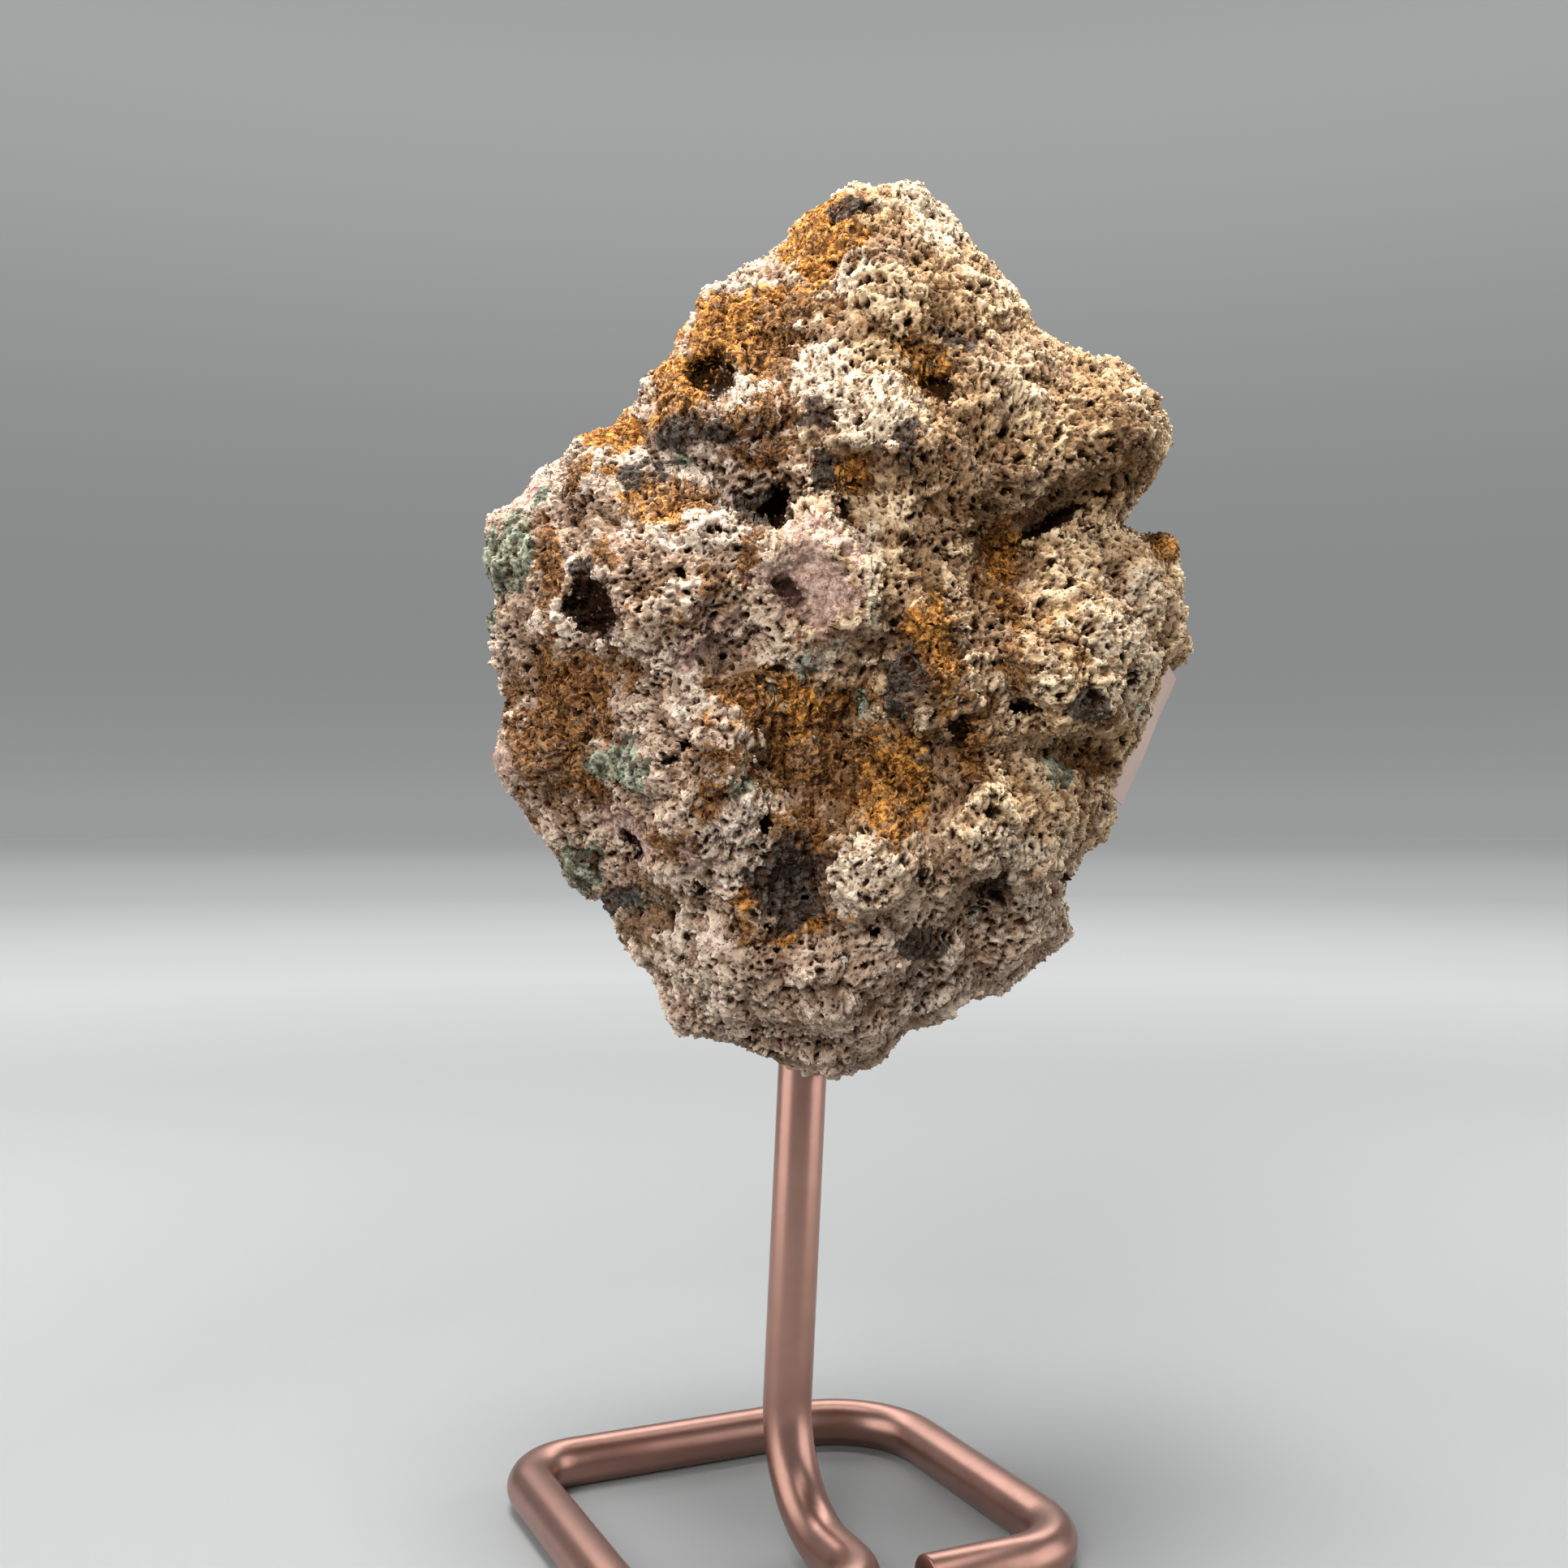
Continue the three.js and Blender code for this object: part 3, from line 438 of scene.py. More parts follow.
OCHRE = ([
    (3, 105, 5.6, 4, 40, 1), (-5.6, 96.4, 7, 4, 45, 1), (-12.6, 89.6, 4, 1.6, 25, 1),
    (11.3, 95, 2.6, 2.6, 0, 0.7), (5.8, 86.4, 2, 1.8, 0, 0.8), (9.4, 60.4, 3.6, 4.6, 0, 0.9),
    (11.4, 74.4, 1.5, 1.9, 0, 1), (13, 69.4, 0.8, 4.4, 6, 0.8), (18.4, 80.1, 1.8, 3.4, -15, 0.8),
    (-0.4, 67.4, 5.4, 3.4, 0, 0.8), (-11, 84, 4.4, 1.6, -20, 0.8), (31, 80.2, 1.8, 0.9, 0, 0.8),
    (-2.9, 51.6, 1.6, 2.2, 0, 0.7), (1.6, 49.7, 3.6, 0.8, 12, 0.9),
], [
    (-10, 93, 4.6, 3.4, 35, 0.9), (14, 55, 6, 3, 20, 0.8),
])


def smooth_step(value, low, high):
    share = np.clip((value - low) / (high - low), 0.0, 1.0)
    return share * share * (3.0 - 2.0 * share)


def lattice_value(cell):
    """A fixed random value between -1 and 1 for each cell of a lattice."""
    i, j, k = cell.T
    scrambled = np.sin(i * 127.1 + j * 311.7 + k * 74.7) * 43758.5453
    return 2.0 * (scrambled - np.floor(scrambled)) - 1.0


def smooth_noise(points, size):
    """Smooth random values between -1 and 1 that change over about one size."""
    scaled = points / size
    corner = np.floor(scaled)
    share = scaled - corner
    eased = share * share * (3.0 - 2.0 * share)
    total = np.zeros(len(points))
    for steps in np.ndindex(2, 2, 2):
        weight = np.ones(len(points))
        for axis, step in enumerate(steps):
            weight *= eased[:, axis] if step else 1.0 - eased[:, axis]
        total += weight * lattice_value(corner + steps)
    return total


def grain_cells(points, size):
    """Distance to the nearest and second nearest grain centre, and that grain's own shade."""
    scaled = points / size
    corner = np.floor(scaled)
    nearest = np.full(len(points), 9.0)
    second = np.full(len(points), 9.0)
    shade = np.zeros(len(points))
    for steps in np.ndindex(3, 3, 3):
        cell = corner + steps - 1.0
        first = lattice_value(cell)
        other = lattice_value(cell + (31.0, -17.0, 5.0))
        third = lattice_value(cell + (-11.0, 23.0, -41.0))
        centre = cell + 0.5 + 0.42 * np.stack((first, other, third), axis=1)
        apart = np.linalg.norm(scaled - centre, axis=1)
        closer = apart < nearest
        second = np.where(closer, nearest, np.minimum(second, apart))
        shade = np.where(closer, other, shade)
        nearest = np.where(closer, apart, nearest)
    return nearest, second, shade


def outline_table():
    """The rock's reach from its centre in each direction of the front view."""
    corners = np.array(ROCK_OUTLINE) - ROCK_CENTRE
    angles = np.radians(np.arange(-360.0, 360.0, 0.25))
    reaches = np.zeros(len(angles))
    for first, last in zip(corners, np.roll(corners, -1, axis=0)):
        side_first = np.cos(angles) * first[1] - np.sin(angles) * first[0]
        side_last = np.cos(angles) * last[1] - np.sin(angles) * last[0]
        crossed = (side_first >= 0.0) & (side_last < 0.0)
        share = (side_first / (side_first - side_last + 1e-12))[crossed]
        met = first + share[:, None] * (last - first)
        reaches[crossed] = np.hypot(met[:, 0], met[:, 1])
    return angles, reaches


def within_ellipse(across, up, centre_across, centre_up, wide, tall, turn):
    """The square of each point's share of the way out from an ellipse's centre to its edge."""
    cosine, sine = math.cos(math.radians(turn)), math.sin(math.radians(turn))
    dx, dz = across - centre_across, up - centre_up
    return ((dx * cosine + dz * sine) / wide) ** 2 + ((dz * cosine - dx * sine) / tall) ** 2


def relief_height(features, across, up):
    height = np.zeros(len(across))
    for *ellipse, lift, steep in features:
        square = within_ellipse(across, up, *ellipse)
        height += lift * np.exp(-(square * square if steep else square))
    return height


def seam_offset(angle):
    behind_slip = 5.0 * np.exp(-(((angle + 0.3) / 0.35) ** 2))
    wander = 0.6 * np.sin(2.0 * angle + 1.2) + 0.4 * np.sin(5.0 * angle)
    return SEAM_WANDER * wander + behind_slip


def rock_form(direction):
    """The rock's main form in millimetres round the rod's foot, and where the eye sees it."""
    angles, reaches = outline_table()
    angle = np.arctan2(direction[:, 2], direction[:, 0])
    spread = np.hypot(direction[:, 0], direction[:, 2]) ** BLOCKINESS
    smooth = np.zeros(len(angle))
    for step in range(SMOOTHING_SAMPLES):
        share = 2.0 * step / (SMOOTHING_SAMPLES - 1) - 1.0
        smooth += np.interp(angle + share * SMOOTHING_ANGLE, angles, reaches) / SMOOTHING_SAMPLES
    reach = smooth + (np.interp(angle, angles, reaches) - smooth) * spread ** 4
    across = ROCK_CENTRE[0] + spread * reach * np.cos(angle)
    up = ROCK_CENTRE[1] + spread * reach * np.sin(angle)
    away = direction[:, 1]
    fade = smooth_step(np.abs(away), 0.0, RELIEF_FADE)
    bulge = np.abs(away) ** BLOCKINESS
    front = FRONT_DEPTH * bulge + fade * relief_height(FRONT_RELIEF, across, up)
    back = BACK_DEPTH * bulge + fade * relief_height(BACK_RELIEF, across, up)
    depth = ROCK_MIDDLE_Y + seam_offset(angle) * spread * spread + np.where(away < 0.0, -front, back)
    scale = (EYE_DISTANCE + depth) / EYE_DISTANCE
    points = np.stack((across * scale, depth, EYE_HEIGHT + (up - EYE_HEIGHT) * scale), axis=1)
    rugged = RUGGED_HEIGHT * smooth_noise(points, RUGGED_SIZE)
    knobbly = KNOBBLY_HEIGHT * smooth_noise(points, KNOBBLY_SIZE)
    return points + direction * (fade * (rugged + knobbly))[:, None], across, up


def hole_depth(across, up, widened=1.0):
    depth = np.zeros(len(across))
    for *ellipse, deep in HOLES:
        square = within_ellipse(across, up, *ellipse) / widened ** 2
        depth = np.maximum(depth, deep * np.exp(-(square ** 3)))
    return depth


def patch_strength(patches, across, up):
    strength = np.zeros(len(across))
    for *ellipse, most in patches:
        square = within_ellipse(across, up, *ellipse)
        strength = np.maximum(strength, most * np.exp(-(square ** 1.4) * 0.7))
    return strength


def unit(vectors):
    return vectors / np.maximum(np.linalg.norm(vectors, axis=1, keepdims=True), 1e-12)


def face_normals(points, faces):
    """Normals of four-cornered faces, each twice as long as its face has area."""
    return np.cross(points[faces[:, 2]] - points[faces[:, 0]], points[faces[:, 3]] - points[faces[:, 1]])


def vertex_normals(points, faces):
    pulls = face_normals(points, faces)
    normals = np.zeros_like(points)
    for corner in range(4):
        for axis in range(3):
            normals[:, axis] += np.bincount(faces[:, corner], pulls[:, axis], len(points))
    return unit(normals)


def store_measure(mesh, name, values):
    mesh.attributes.new(name, "FLOAT", "POINT").data.foreach_set("value", values.astype(np.float32))


def mineral(points, place, patches, phase, lowness):
    """How much of a mineral lies at each point, with ragged edges."""
    shifted = points + phase
    edge = 0.34 * smooth_noise(shifted, 2.4) + 0.34 * smooth_noise(shifted, 1.1)
    edge = edge + 0.26 * smooth_noise(shifted, 0.55)
    frontness, across, up = place
    strength = frontness * patch_strength(patches[0], across, up)
    strength += (1.0 - frontness) * patch_strength(patches[1], across, up)
    return smooth_step(strength + edge + lowness, 0.2, 0.9) * smooth_step(strength, 0.04, 0.3)


def open_pits(points, size, usual, varied):
    """Round pits, one in each cell and some of them closed: 1 at the bottom, 0 between."""
    near, _, own = grain_cells(points, size)
    return smooth_step(usual + varied * own - near, -0.04, 0.16)


def splinters(points):
    """Low ridges in bundles, each bundle lying its own way."""
    _, _, own = grain_cells(points + 33.0, 2.4)
    cosine, sine = np.cos(2.0 * own), np.sin(2.0 * own)
    along = points[:, 0] * cosine + points[:, 2] * sine
    beside = points[:, 2] * cosine - points[:, 0] * sine
    return 1.0 - 2.2 * np.abs(smooth_noise(np.stack((0.2 * along, 0.7 * points[:, 1], beside), axis=1), 0.4))


def knob_layer(points, size, height):
    """Rounded knobs, one in each cell, and the creases between them."""
    near, following, own = grain_cells(points + 13.0 * size, size)
    return height * (0.7 + 0.3 * own) * (0.32 - near * near), 1.0 - smooth_step(following - near, 0.0, 0.3)


def grow_rock(ball, faces, sunk):
    """The crusted surface in each direction, its outward normals, its minerals, and its painted shade and
    highlight.

    A number added to the points picks another stretch of the noise. Sunk says how far
    each point is pushed down, to lie below another of the rock's meshes.
    """
    points, across, up = rock_form(ball)
    form_normals = vertex_normals(points, faces)
    frontness = 1.0 - smooth_step(ball[:, 1], 0.1, 0.4)
    ragged = [0.3 * smooth_noise(points + shift, 1.4) + 0.16 * smooth_noise(points + shift, 0.6)
              for shift in (81.0, -81.0)]
    holes = hole_depth(across + ragged[0], up + ragged[1])
    holes = holes * (1.0 - smooth_step(ball[:, 1], -0.3, -0.05))
    warp = np.stack([smooth_noise(points + 9.0 * axis, 2.6) for axis in (1, 2, 3)], axis=1)
    warped = points + 0.7 * warp
    place = (frontness, across, up)
    lilac = mineral(points, place, LILAC, 41.0, 0.0)

    # The lumps: large and middling knobs, long crests, vugs and the slip's facet.
    big_knobs, big_creases = knob_layer(warped, BIG_KNOB_SIZE, BIG_KNOB_HEIGHT)
    knobs, creases = knob_layer(warped, KNOB_SIZE, KNOB_HEIGHT)
    crest = 1.0 - np.abs(smooth_noise(warped * (0.7, 1.0, 1.4) + 27.0, CREST_SIZE)) * 2.2
    crest = np.clip(crest, 0.0, 1.0) ** 2 * (0.5 + 0.5 * smooth_noise(points - 4.0, 4.0))
    crest = crest * (1.0 - 0.6 * lilac)
    in_hole = smooth_step(holes, 0.2, 1.3)
    lumps = big_knobs * (1.0 - 0.6 * lilac) + knobs * (1.0 - 0.7 * lilac) + CREST_HEIGHT * crest
    lumps = lumps * (1.0 - 0.75 * in_hole)
    points = points + form_normals * lumps[:, None]
    points[:, 1] += holes
    points = bed_slip(points)
    normals = vertex_normals(points, faces)

    # The skin of the lumps: pits with thin walls, small knobs, splinters and grit.
    crumple = np.stack([smooth_noise(points - 7.0 * axis, 0.65) for axis in (1, 2, 3)], axis=1)
    sheared = 0.45 * smooth_noise(points + 61.0, 1.7)[:, None] * (0.9, 0.4, -0.8)
    crumpled = points + 0.22 * crumple + sheared
    small_knobs, small_creases = knob_layer(crumpled, SMALL_KNOB_SIZE, SMALL_KNOB_HEIGHT)
    # Lowness leads the minerals: rust, umber, soot and a little green spread into the low places between the
    # knobs, and the cream onto the knobs; partly their own lie, partly painted shade below and painted
    # highlight above.
    lowness = -0.7 * (knobs + small_knobs)
    rust = mineral(points, place, RUST, 11.0, 1.2 * lowness)
    ochre = mineral(points, place, OCHRE, 71.0, 0.0)
    umber_and_shade = mineral(points, place, UMBER_AND_SHADE, 67.0, 0.8 * lowness)
    soot = mineral(points, place, SOOT, 23.0, lowness)
    green = mineral(points, place, GREEN, 37.0, 0.3 * lowness)
    cream_and_highlight = mineral(points, place, CREAM_AND_HIGHLIGHT, 53.0, -0.8 * lowness)
    bare = (1.0 - 0.92 * lilac) * (1.0 - 0.5 * rust) * (1.0 - 0.5 * green)
    porous = 0.3 + 0.7 * smooth_step(smooth_noise(points + 5.0, 4.0), -0.5, 0.4)
    wide_pits = open_pits(crumpled + 19.0, WIDE_PIT_SIZE, 0.25, 0.22) * porous * bare
    small_pits = open_pits(crumpled - 19.0, SMALL_PIT_SIZE, 0.3, 0.22) * bare
    wrinkles = 1.0 - 2.2 * np.abs(smooth_noise(crumpled + 43.0, WRINKLE_SIZE))
    ridges = splinters(crumpled)
    grit = 0.13 * smooth_noise(points + 3.0, 0.36) + 0.09 * smooth_noise(points - 3.0, 0.2)
    skin = small_knobs * (0.5 + 0.5 * bare) - WIDE_PIT_DEPTH * wide_pits - SMALL_PIT_DEPTH * small_pits
    skin = skin + WRINKLE_HEIGHT * wrinkles * bare + SPLINTER_HEIGHT * rust * ridges + grit
    skin = np.where(under_slip(points), np.minimum(skin, 0.0), skin)
    points = points + normals * skin[:, None] - form_normals * sunk[:, None]
    points[:, 1] += hole_depth(across, up, 1.4) * (sunk > 0.0)

    # Painted shade and highlight: hollow darkens the creases, pits and vugs, where shade falls, and shade
    # brightens what stands proud, where light falls.
    hollow = 0.16 * big_creases + 0.2 * creases + 0.2 * small_creases + 0.8 * wide_pits + 0.7 * small_pits
    hollow = np.clip(hollow + 0.12 * rust - 0.2 * wrinkles * bare - 0.4 * rust * ridges, 0.0, 1.0)
    shade = 0.42 + 0.3 * lumps + 0.35 * small_knobs + 0.25 * crest + 0.16 * wrinkles
    measures = {
        "rust": rust, "ochre": ochre, "umber_and_shade": umber_and_shade, "soot": soot,
        "green": green, "lilac": lilac, "cream_and_highlight": cream_and_highlight,
        "hollow": hollow * (1.0 - in_hole) + 0.8 * in_hole, "shade": np.clip(shade, 0.0, 1.0),
        "blush": np.maximum(1.0 - smooth_step(across, -6.0, 10.0), 1.0 - smooth_step(up, 44.0, 62.0)),
    }
    return points, normals, measures


def past_slip(points, ahead, behind):
    """How far each point lies beyond the slip's edges, along its plane."""
    from_slip = points - SLIP_CENTRE
    aside = np.abs(from_slip @ SLIP_ACROSS + (ahead - behind) / 2) - (SLIP_WIDTH + ahead + behind) / 2
    return np.maximum(np.abs(from_slip @ SLIP_DOWN) - SLIP_LENGTH / 2, aside)


def under_slip(points):
    return (past_slip(points, 0.0, 0.0) < 0.4) & (np.abs((points - SLIP_CENTRE) @ SLIP_OUT) < 3.0)


def bed_slip(points):
    """The rock's points, those on the facet brought down flat behind a low lip."""
    aside = (points - SLIP_CENTRE) @ SLIP_ACROSS
    lip = LIP_RISE * smooth_step(-aside, SLIP_WIDTH / 2, SLIP_WIDTH / 2 + 1.2)
    drop = BED_DROP + FALL_BEHIND * np.maximum(aside - SLIP_WIDTH / 2, 0.0)
    proud = (points - SLIP_CENTRE) @ SLIP_OUT + drop - lip * (1.0 + 0.5 * smooth_noise(points, 1.7))
    beside = past_slip(points, FACET_AHEAD, FACET_BEHIND)
    on_bed = (1.0 - smooth_step(beside, 0.2, 1.6)) * (proud > 0.0) * (proud < 6.0)
    return points - SLIP_OUT[None, :] * (proud * on_bed)[:, None]


def mesh_faces(mesh):
    corners = np.zeros(len(mesh.loops), dtype=np.int32)
    mesh.loops.foreach_get("vertex_index", corners)
    return corners.reshape(-1, 4)


def mesh_points(mesh):
    flat = np.zeros(len(mesh.vertices) * 3)
    mesh.vertices.foreach_get("co", flat)
    return flat.reshape(-1, 3)


def turned_from_front(ball, from_front):
    """Directions at new angles from the front, each in its old turn about the front."""
    ring = np.maximum(np.hypot(ball[:, 0], ball[:, 2]), 1e-9)
    reach = np.sin(from_front) / ring
    return np.stack((ball[:, 0] * reach, -np.cos(from_front), ball[:, 2] * reach), axis=1)


def store_rock(piece, points, measures):
    kept = np.clip(points, rock_box[0] + 0.02, rock_box[1] - 0.02)
    piece.data.vertices.foreach_set("co", ((kept + np.array(ROD_FOOT)) * MM).ravel())
    piece.data.update()
    for name, values in measures.items():
        store_measure(piece.data, name, values)
    return kept


rock_box = np.array(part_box("specimen")) / MM - np.array(ROD_FOOT)
rock_shape = bmesh.new()
bmesh.ops.create_cube(rock_shape, size=2.0)
bmesh.ops.subdivide_edges(rock_shape, edges=rock_shape.edges[:], cuts=ROCK_CUTS, use_grid_fill=True)
rock = mesh_object("crusted_rock", rock_shape)
# The cube's rings are evened out, then crowded toward the back, as the front has its own crust.
ball = unit(np.tan(mesh_points(rock.data) * math.pi / 4))
from_front = np.arccos(np.clip(-ball[:, 1], -1.0, 1.0))
from_front = from_front + BACK_CROWDING * np.sin(from_front)
rock_faces = mesh_faces(rock.data)
bare_from = CRUST_REACH - CRUST_OVERLAP
covered = 1.0 - smooth_step(from_front, bare_from - CRUST_BLEND, bare_from)
directions = turned_from_front(ball, from_front)
rock_points, rock_normals, rock_measures = grow_rock(directions, rock_faces, CRUST_DEPTH * covered)
rock_points = store_rock(rock, rock_points, rock_measures)
surfaces = [(rock_points, rock_faces, rock_normals, rock_measures, 1.0 - covered)]

# The front's crust lies over the rock in four finer meshes, whose outer rims dip into it.
crusts = []
for number, (side, level) in enumerate(((-1, -1), (1, -1), (-1, 1), (1, 1)), start=1):
    crust_shape = bmesh.new()
    bmesh.ops.create_grid(crust_shape, x_segments=CRUST_CUTS, y_segments=CRUST_CUTS, size=0.5)
    crust = mesh_object(f"front_crust_{number}", crust_shape)
    grid = mesh_points(crust.data)
    column, row = grid[:, 0] + 0.5 * side, grid[:, 1] + 0.5 * level
    sideways = np.abs(column) > np.abs(row)
    longer = np.where(sideways, column, row)
    share = np.where(sideways, row, column) / np.where(longer == 0.0, 1.0, longer)
    around = np.where(sideways, share, 2.0 - share) * math.pi / 4
    across_disc = np.stack((longer * np.cos(around), 0.0 * longer, longer * np.sin(around)), axis=1)
    out = np.abs(longer)
    from_front = CRUST_REACH * (out - CRUST_CROWDING * np.sin(math.pi * out) / math.pi)
    directions = turned_from_front(across_disc, from_front)
    crust_faces = mesh_faces(crust.data)
    rim = smooth_step(from_front, CRUST_REACH - CRUST_RIM, CRUST_REACH)
    crust_points, crust_normals, crust_measures = grow_rock(directions, crust_faces, CRUST_DEPTH * rim)
    crust_points = store_rock(crust, crust_points, crust_measures)
    surfaces.append((crust_points, crust_faces, crust_normals, crust_measures, 1.0 - rim))
    crusts.append(crust)


def crust_paint():
    """The rock's mineral colours, with painted shade and highlights, from the measures stored on its points.
    """
    paint = Paint("mineral_crust", Roughness=0.95, Coat_Roughness=0.25, Specular_IOR_Level=0.06)
    broad = paint.cloud(5.0, 4.0, 0.6)
    patchy = paint.cloud(1.6, 4.0, 0.65)
    speckle = paint.cloud(0.5, 3.0, 0.7)
    fine = paint.cloud(0.35, 2.0, 0.6)
    shade = paint.measure("shade")

    def edge(name, spread=0.9, grain=0.9):
        ragged_value = paint.measure(name) + (patchy - 0.5) * spread + (speckle - 0.5) * grain
        return paint.rise(ragged_value, 0.3, 0.7)

    # Bare crust: yellowish, or pinkish on the left and below, with a painted highlight where it stands
    # proud.
    blush = paint.measure("blush")
    yellow = paint.tones(paint.rise(patchy, 0.35, 0.65), (120, 92, 62), (190, 157, 118))
    pink = paint.tones(paint.rise(patchy, 0.35, 0.65), (116, 94, 76), (182, 156, 133))
    tan = paint.blend(blush, yellow, pink)
    tan = paint.blend(paint.rise(broad, 0.45, 0.62) * 0.5, tan, screen_colour(136, 108, 92))
    bright = paint.tones(blush, (232, 208, 172), (224, 204, 184))
    tan = paint.blend(paint.rise(shade, 0.45, 1.05) * 0.8, tan, bright)
    # Umber: brown patches, partly the rock's own colour and partly painted shade.
    umber_and_shade_colour = paint.tones(paint.rise(speckle, 0.35, 0.65), (68, 48, 30), (134, 103, 74))
    colour = paint.blend(edge("umber_and_shade") * 0.8, tan, umber_and_shade_colour)
    # Cream: partly the crust's own pale colour, partly a painted highlight.
    pale = paint.tones(blush, (222, 203, 174), (222, 206, 190))
    cream_and_highlight_colour = paint.blend(paint.rise(speckle, 0.3, 0.7), screen_colour(160, 138, 116), pale)
    colour = paint.blend(edge("cream_and_highlight") * 0.9, colour, cream_and_highlight_colour)
    rust_deep = paint.tones(paint.rise(speckle, 0.35, 0.7), (58, 33, 14), (156, 108, 60))
    rust_bright = paint.tones(paint.rise(speckle, 0.35, 0.65), (112, 64, 18), (212, 148, 70))
    brightness = paint.rise(paint.measure("ochre") + (patchy - 0.5) * 1.4 + (speckle - 0.5) * 1.6, 0.15, 1.0)
    rust_colour = paint.blend(brightness, rust_deep, rust_bright)
    stained = paint.tones(paint.rise(speckle, 0.45, 0.65), (74, 52, 36), (164, 138, 112))
    stains = paint.rise(paint.cloud(1.1, 4.0, 0.7), 0.52, 0.64)
    rust_colour = paint.blend(stains * 0.75, rust_colour, stained)
    colour = paint.blend(edge("rust", 2.0, 1.9) * 0.9, colour, rust_colour)
    lilac_colour = paint.tones(paint.rise(speckle, 0.3, 0.7), (118, 88, 76), (200, 172, 154))
    colour = paint.blend(edge("lilac", 0.4) * 0.9, colour, lilac_colour)
    green_colour = paint.tones(paint.rise(patchy, 0.4, 0.62), (44, 54, 44), (148, 156, 134))
    colour = paint.blend(edge("green", 0.5) * 0.9, colour, green_colour)
    soot_colour = paint.tones(paint.rise(speckle, 0.35, 0.7), (18, 16, 16), (90, 84, 78))
    colour = paint.blend(edge("soot", 1.5, 1.3) * 0.93, colour, soot_colour)
    # Painted shade: pits, creases, vugs and tiny pores are darkened toward a shadow brown,
    # reddish in the lilac.
    lilac = paint.measure("lilac")
    specks = 1.0 - paint.rise(paint.cells(0.42) + (fine - 0.5) * 0.5, 0.1, 0.32)
    specks = specks * (1.0 - lilac * 0.7)
    gap = paint.measure("hollow") + (fine - 0.5) * 0.5 + specks * 0.24
    shadow = paint.tones(lilac, (84, 48, 18), (88, 46, 38))
    colour = paint.blend(paint.rise(gap, 0.05, 0.6) * 0.6, colour, shadow)
    deepest = paint.tones(lilac, (26, 13, 4), (44, 20, 16))
    colour = paint.blend(paint.rise(gap, 0.3, 0.85) * 0.95, colour, deepest)
    height = speckle * 0.6 + fine * 0.5 + paint.cloud(0.17, 2.0, 0.6) * 0.3 - specks * 0.7
    paint.feed(Base_Color=colour, Normal=paint.relief(height, 0.3), Coat_Weight=lilac * 0.35)
    return paint.material


crust_material = crust_paint()
for piece in (rock, *crusts):
    piece.data.materials.append(crust_material)
    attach(piece, "root")
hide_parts("specimen")


# ------------------------ crust grains
# Thousands of loose-looking mineral grains and rust needles, a few tenths of a
# millimetre thick, grown fast to the crust all round the rock.
GRAIN_COUNT = 28000
GRAIN_RADIUS = 0.13
GRAIN_MESHES = 2
GRAIN_SEED = 5


def grain_template():
    shape = bmesh.new()
    bmesh.ops.create_uvsphere(shape, u_segments=4, v_segments=2, radius=1.0)
    bmesh.ops.triangulate(shape, faces=shape.faces[:])
    shape.verts.index_update()
    corners = np.array([vertex.co[:] for vertex in shape.verts])
    faces = np.array([[vertex.index for vertex in face.verts] for face in shape.faces])
    shape.free()
    return corners, faces


all_points, all_faces, all_normals, all_measures, all_open = zip(*surfaces)
starts = np.cumsum([0] + [len(points) for points in all_points])
every_point = np.concatenate(all_points)
every_face = np.concatenate([faces + start for faces, start in zip(all_faces, starts)])
every_normal = np.concatenate(all_normals)
every_measure = {name: np.concatenate([one[name] for one in all_measures]) for name in rock_measures}
open_air = np.concatenate(all_open)
wanted = (0.35 + 0.65 * every_measure["rust"]) * (1.0 - 0.7 * every_measure["hollow"].clip(0.0, 1.0))
wanted = wanted * open_air * ~under_slip(every_point)
chance = np.linalg.norm(face_normals(every_point, every_face), axis=1) * wanted[every_face].mean(axis=1)
draw = np.random.default_rng(GRAIN_SEED)
spots = every_face[draw.choice(len(every_face), GRAIN_COUNT, p=chance / chance.sum()), 0]
measures = {name: values[spots] for name, values in every_measure.items()}
outward = every_normal[spots]
splintery = measures["rust"] * draw.random(GRAIN_COUNT)
radius = GRAIN_RADIUS * np.exp(draw.normal(scale=0.3, size=GRAIN_COUNT))
radius = radius * (1.0 - 0.3 * measures["lilac"]) * (1.0 - 0.4 * splintery)
stretch = draw.uniform(0.75, 1.25, (GRAIN_COUNT, 3))
stretch[:, 0] *= 1.2 + 5.0 * splintery
along = unit(np.cross(outward, draw.normal(size=(GRAIN_COUNT, 3))))
beside = unit(np.cross(along, outward + 0.3 * draw.normal(size=(GRAIN_COUNT, 3))))
axes = np.stack((along, beside, np.cross(along, beside)), axis=1)
grain_corners, corner_faces = grain_template()
local = grain_corners[None, :, :] * (stretch * radius[:, None])[:, None, :]
middles = every_point[spots] + outward * (radius * draw.uniform(-0.4, 0.3, GRAIN_COUNT))[:, None]
grain_points = middles[:, None, :] + np.einsum("nck,nkd->ncd", local, axes)
grain_points = np.clip(grain_points, rock_box[0] + 0.01, rock_box[1] - 0.01)
# Painted shade and highlight: the grains stand proud, so they take half the crust's painted shade, and each
# grain's painted highlight share differs a little at random.
measures["hollow"] = 0.5 * measures["hollow"]
measures["shade"] = measures["shade"] + draw.normal(scale=0.12, size=GRAIN_COUNT)

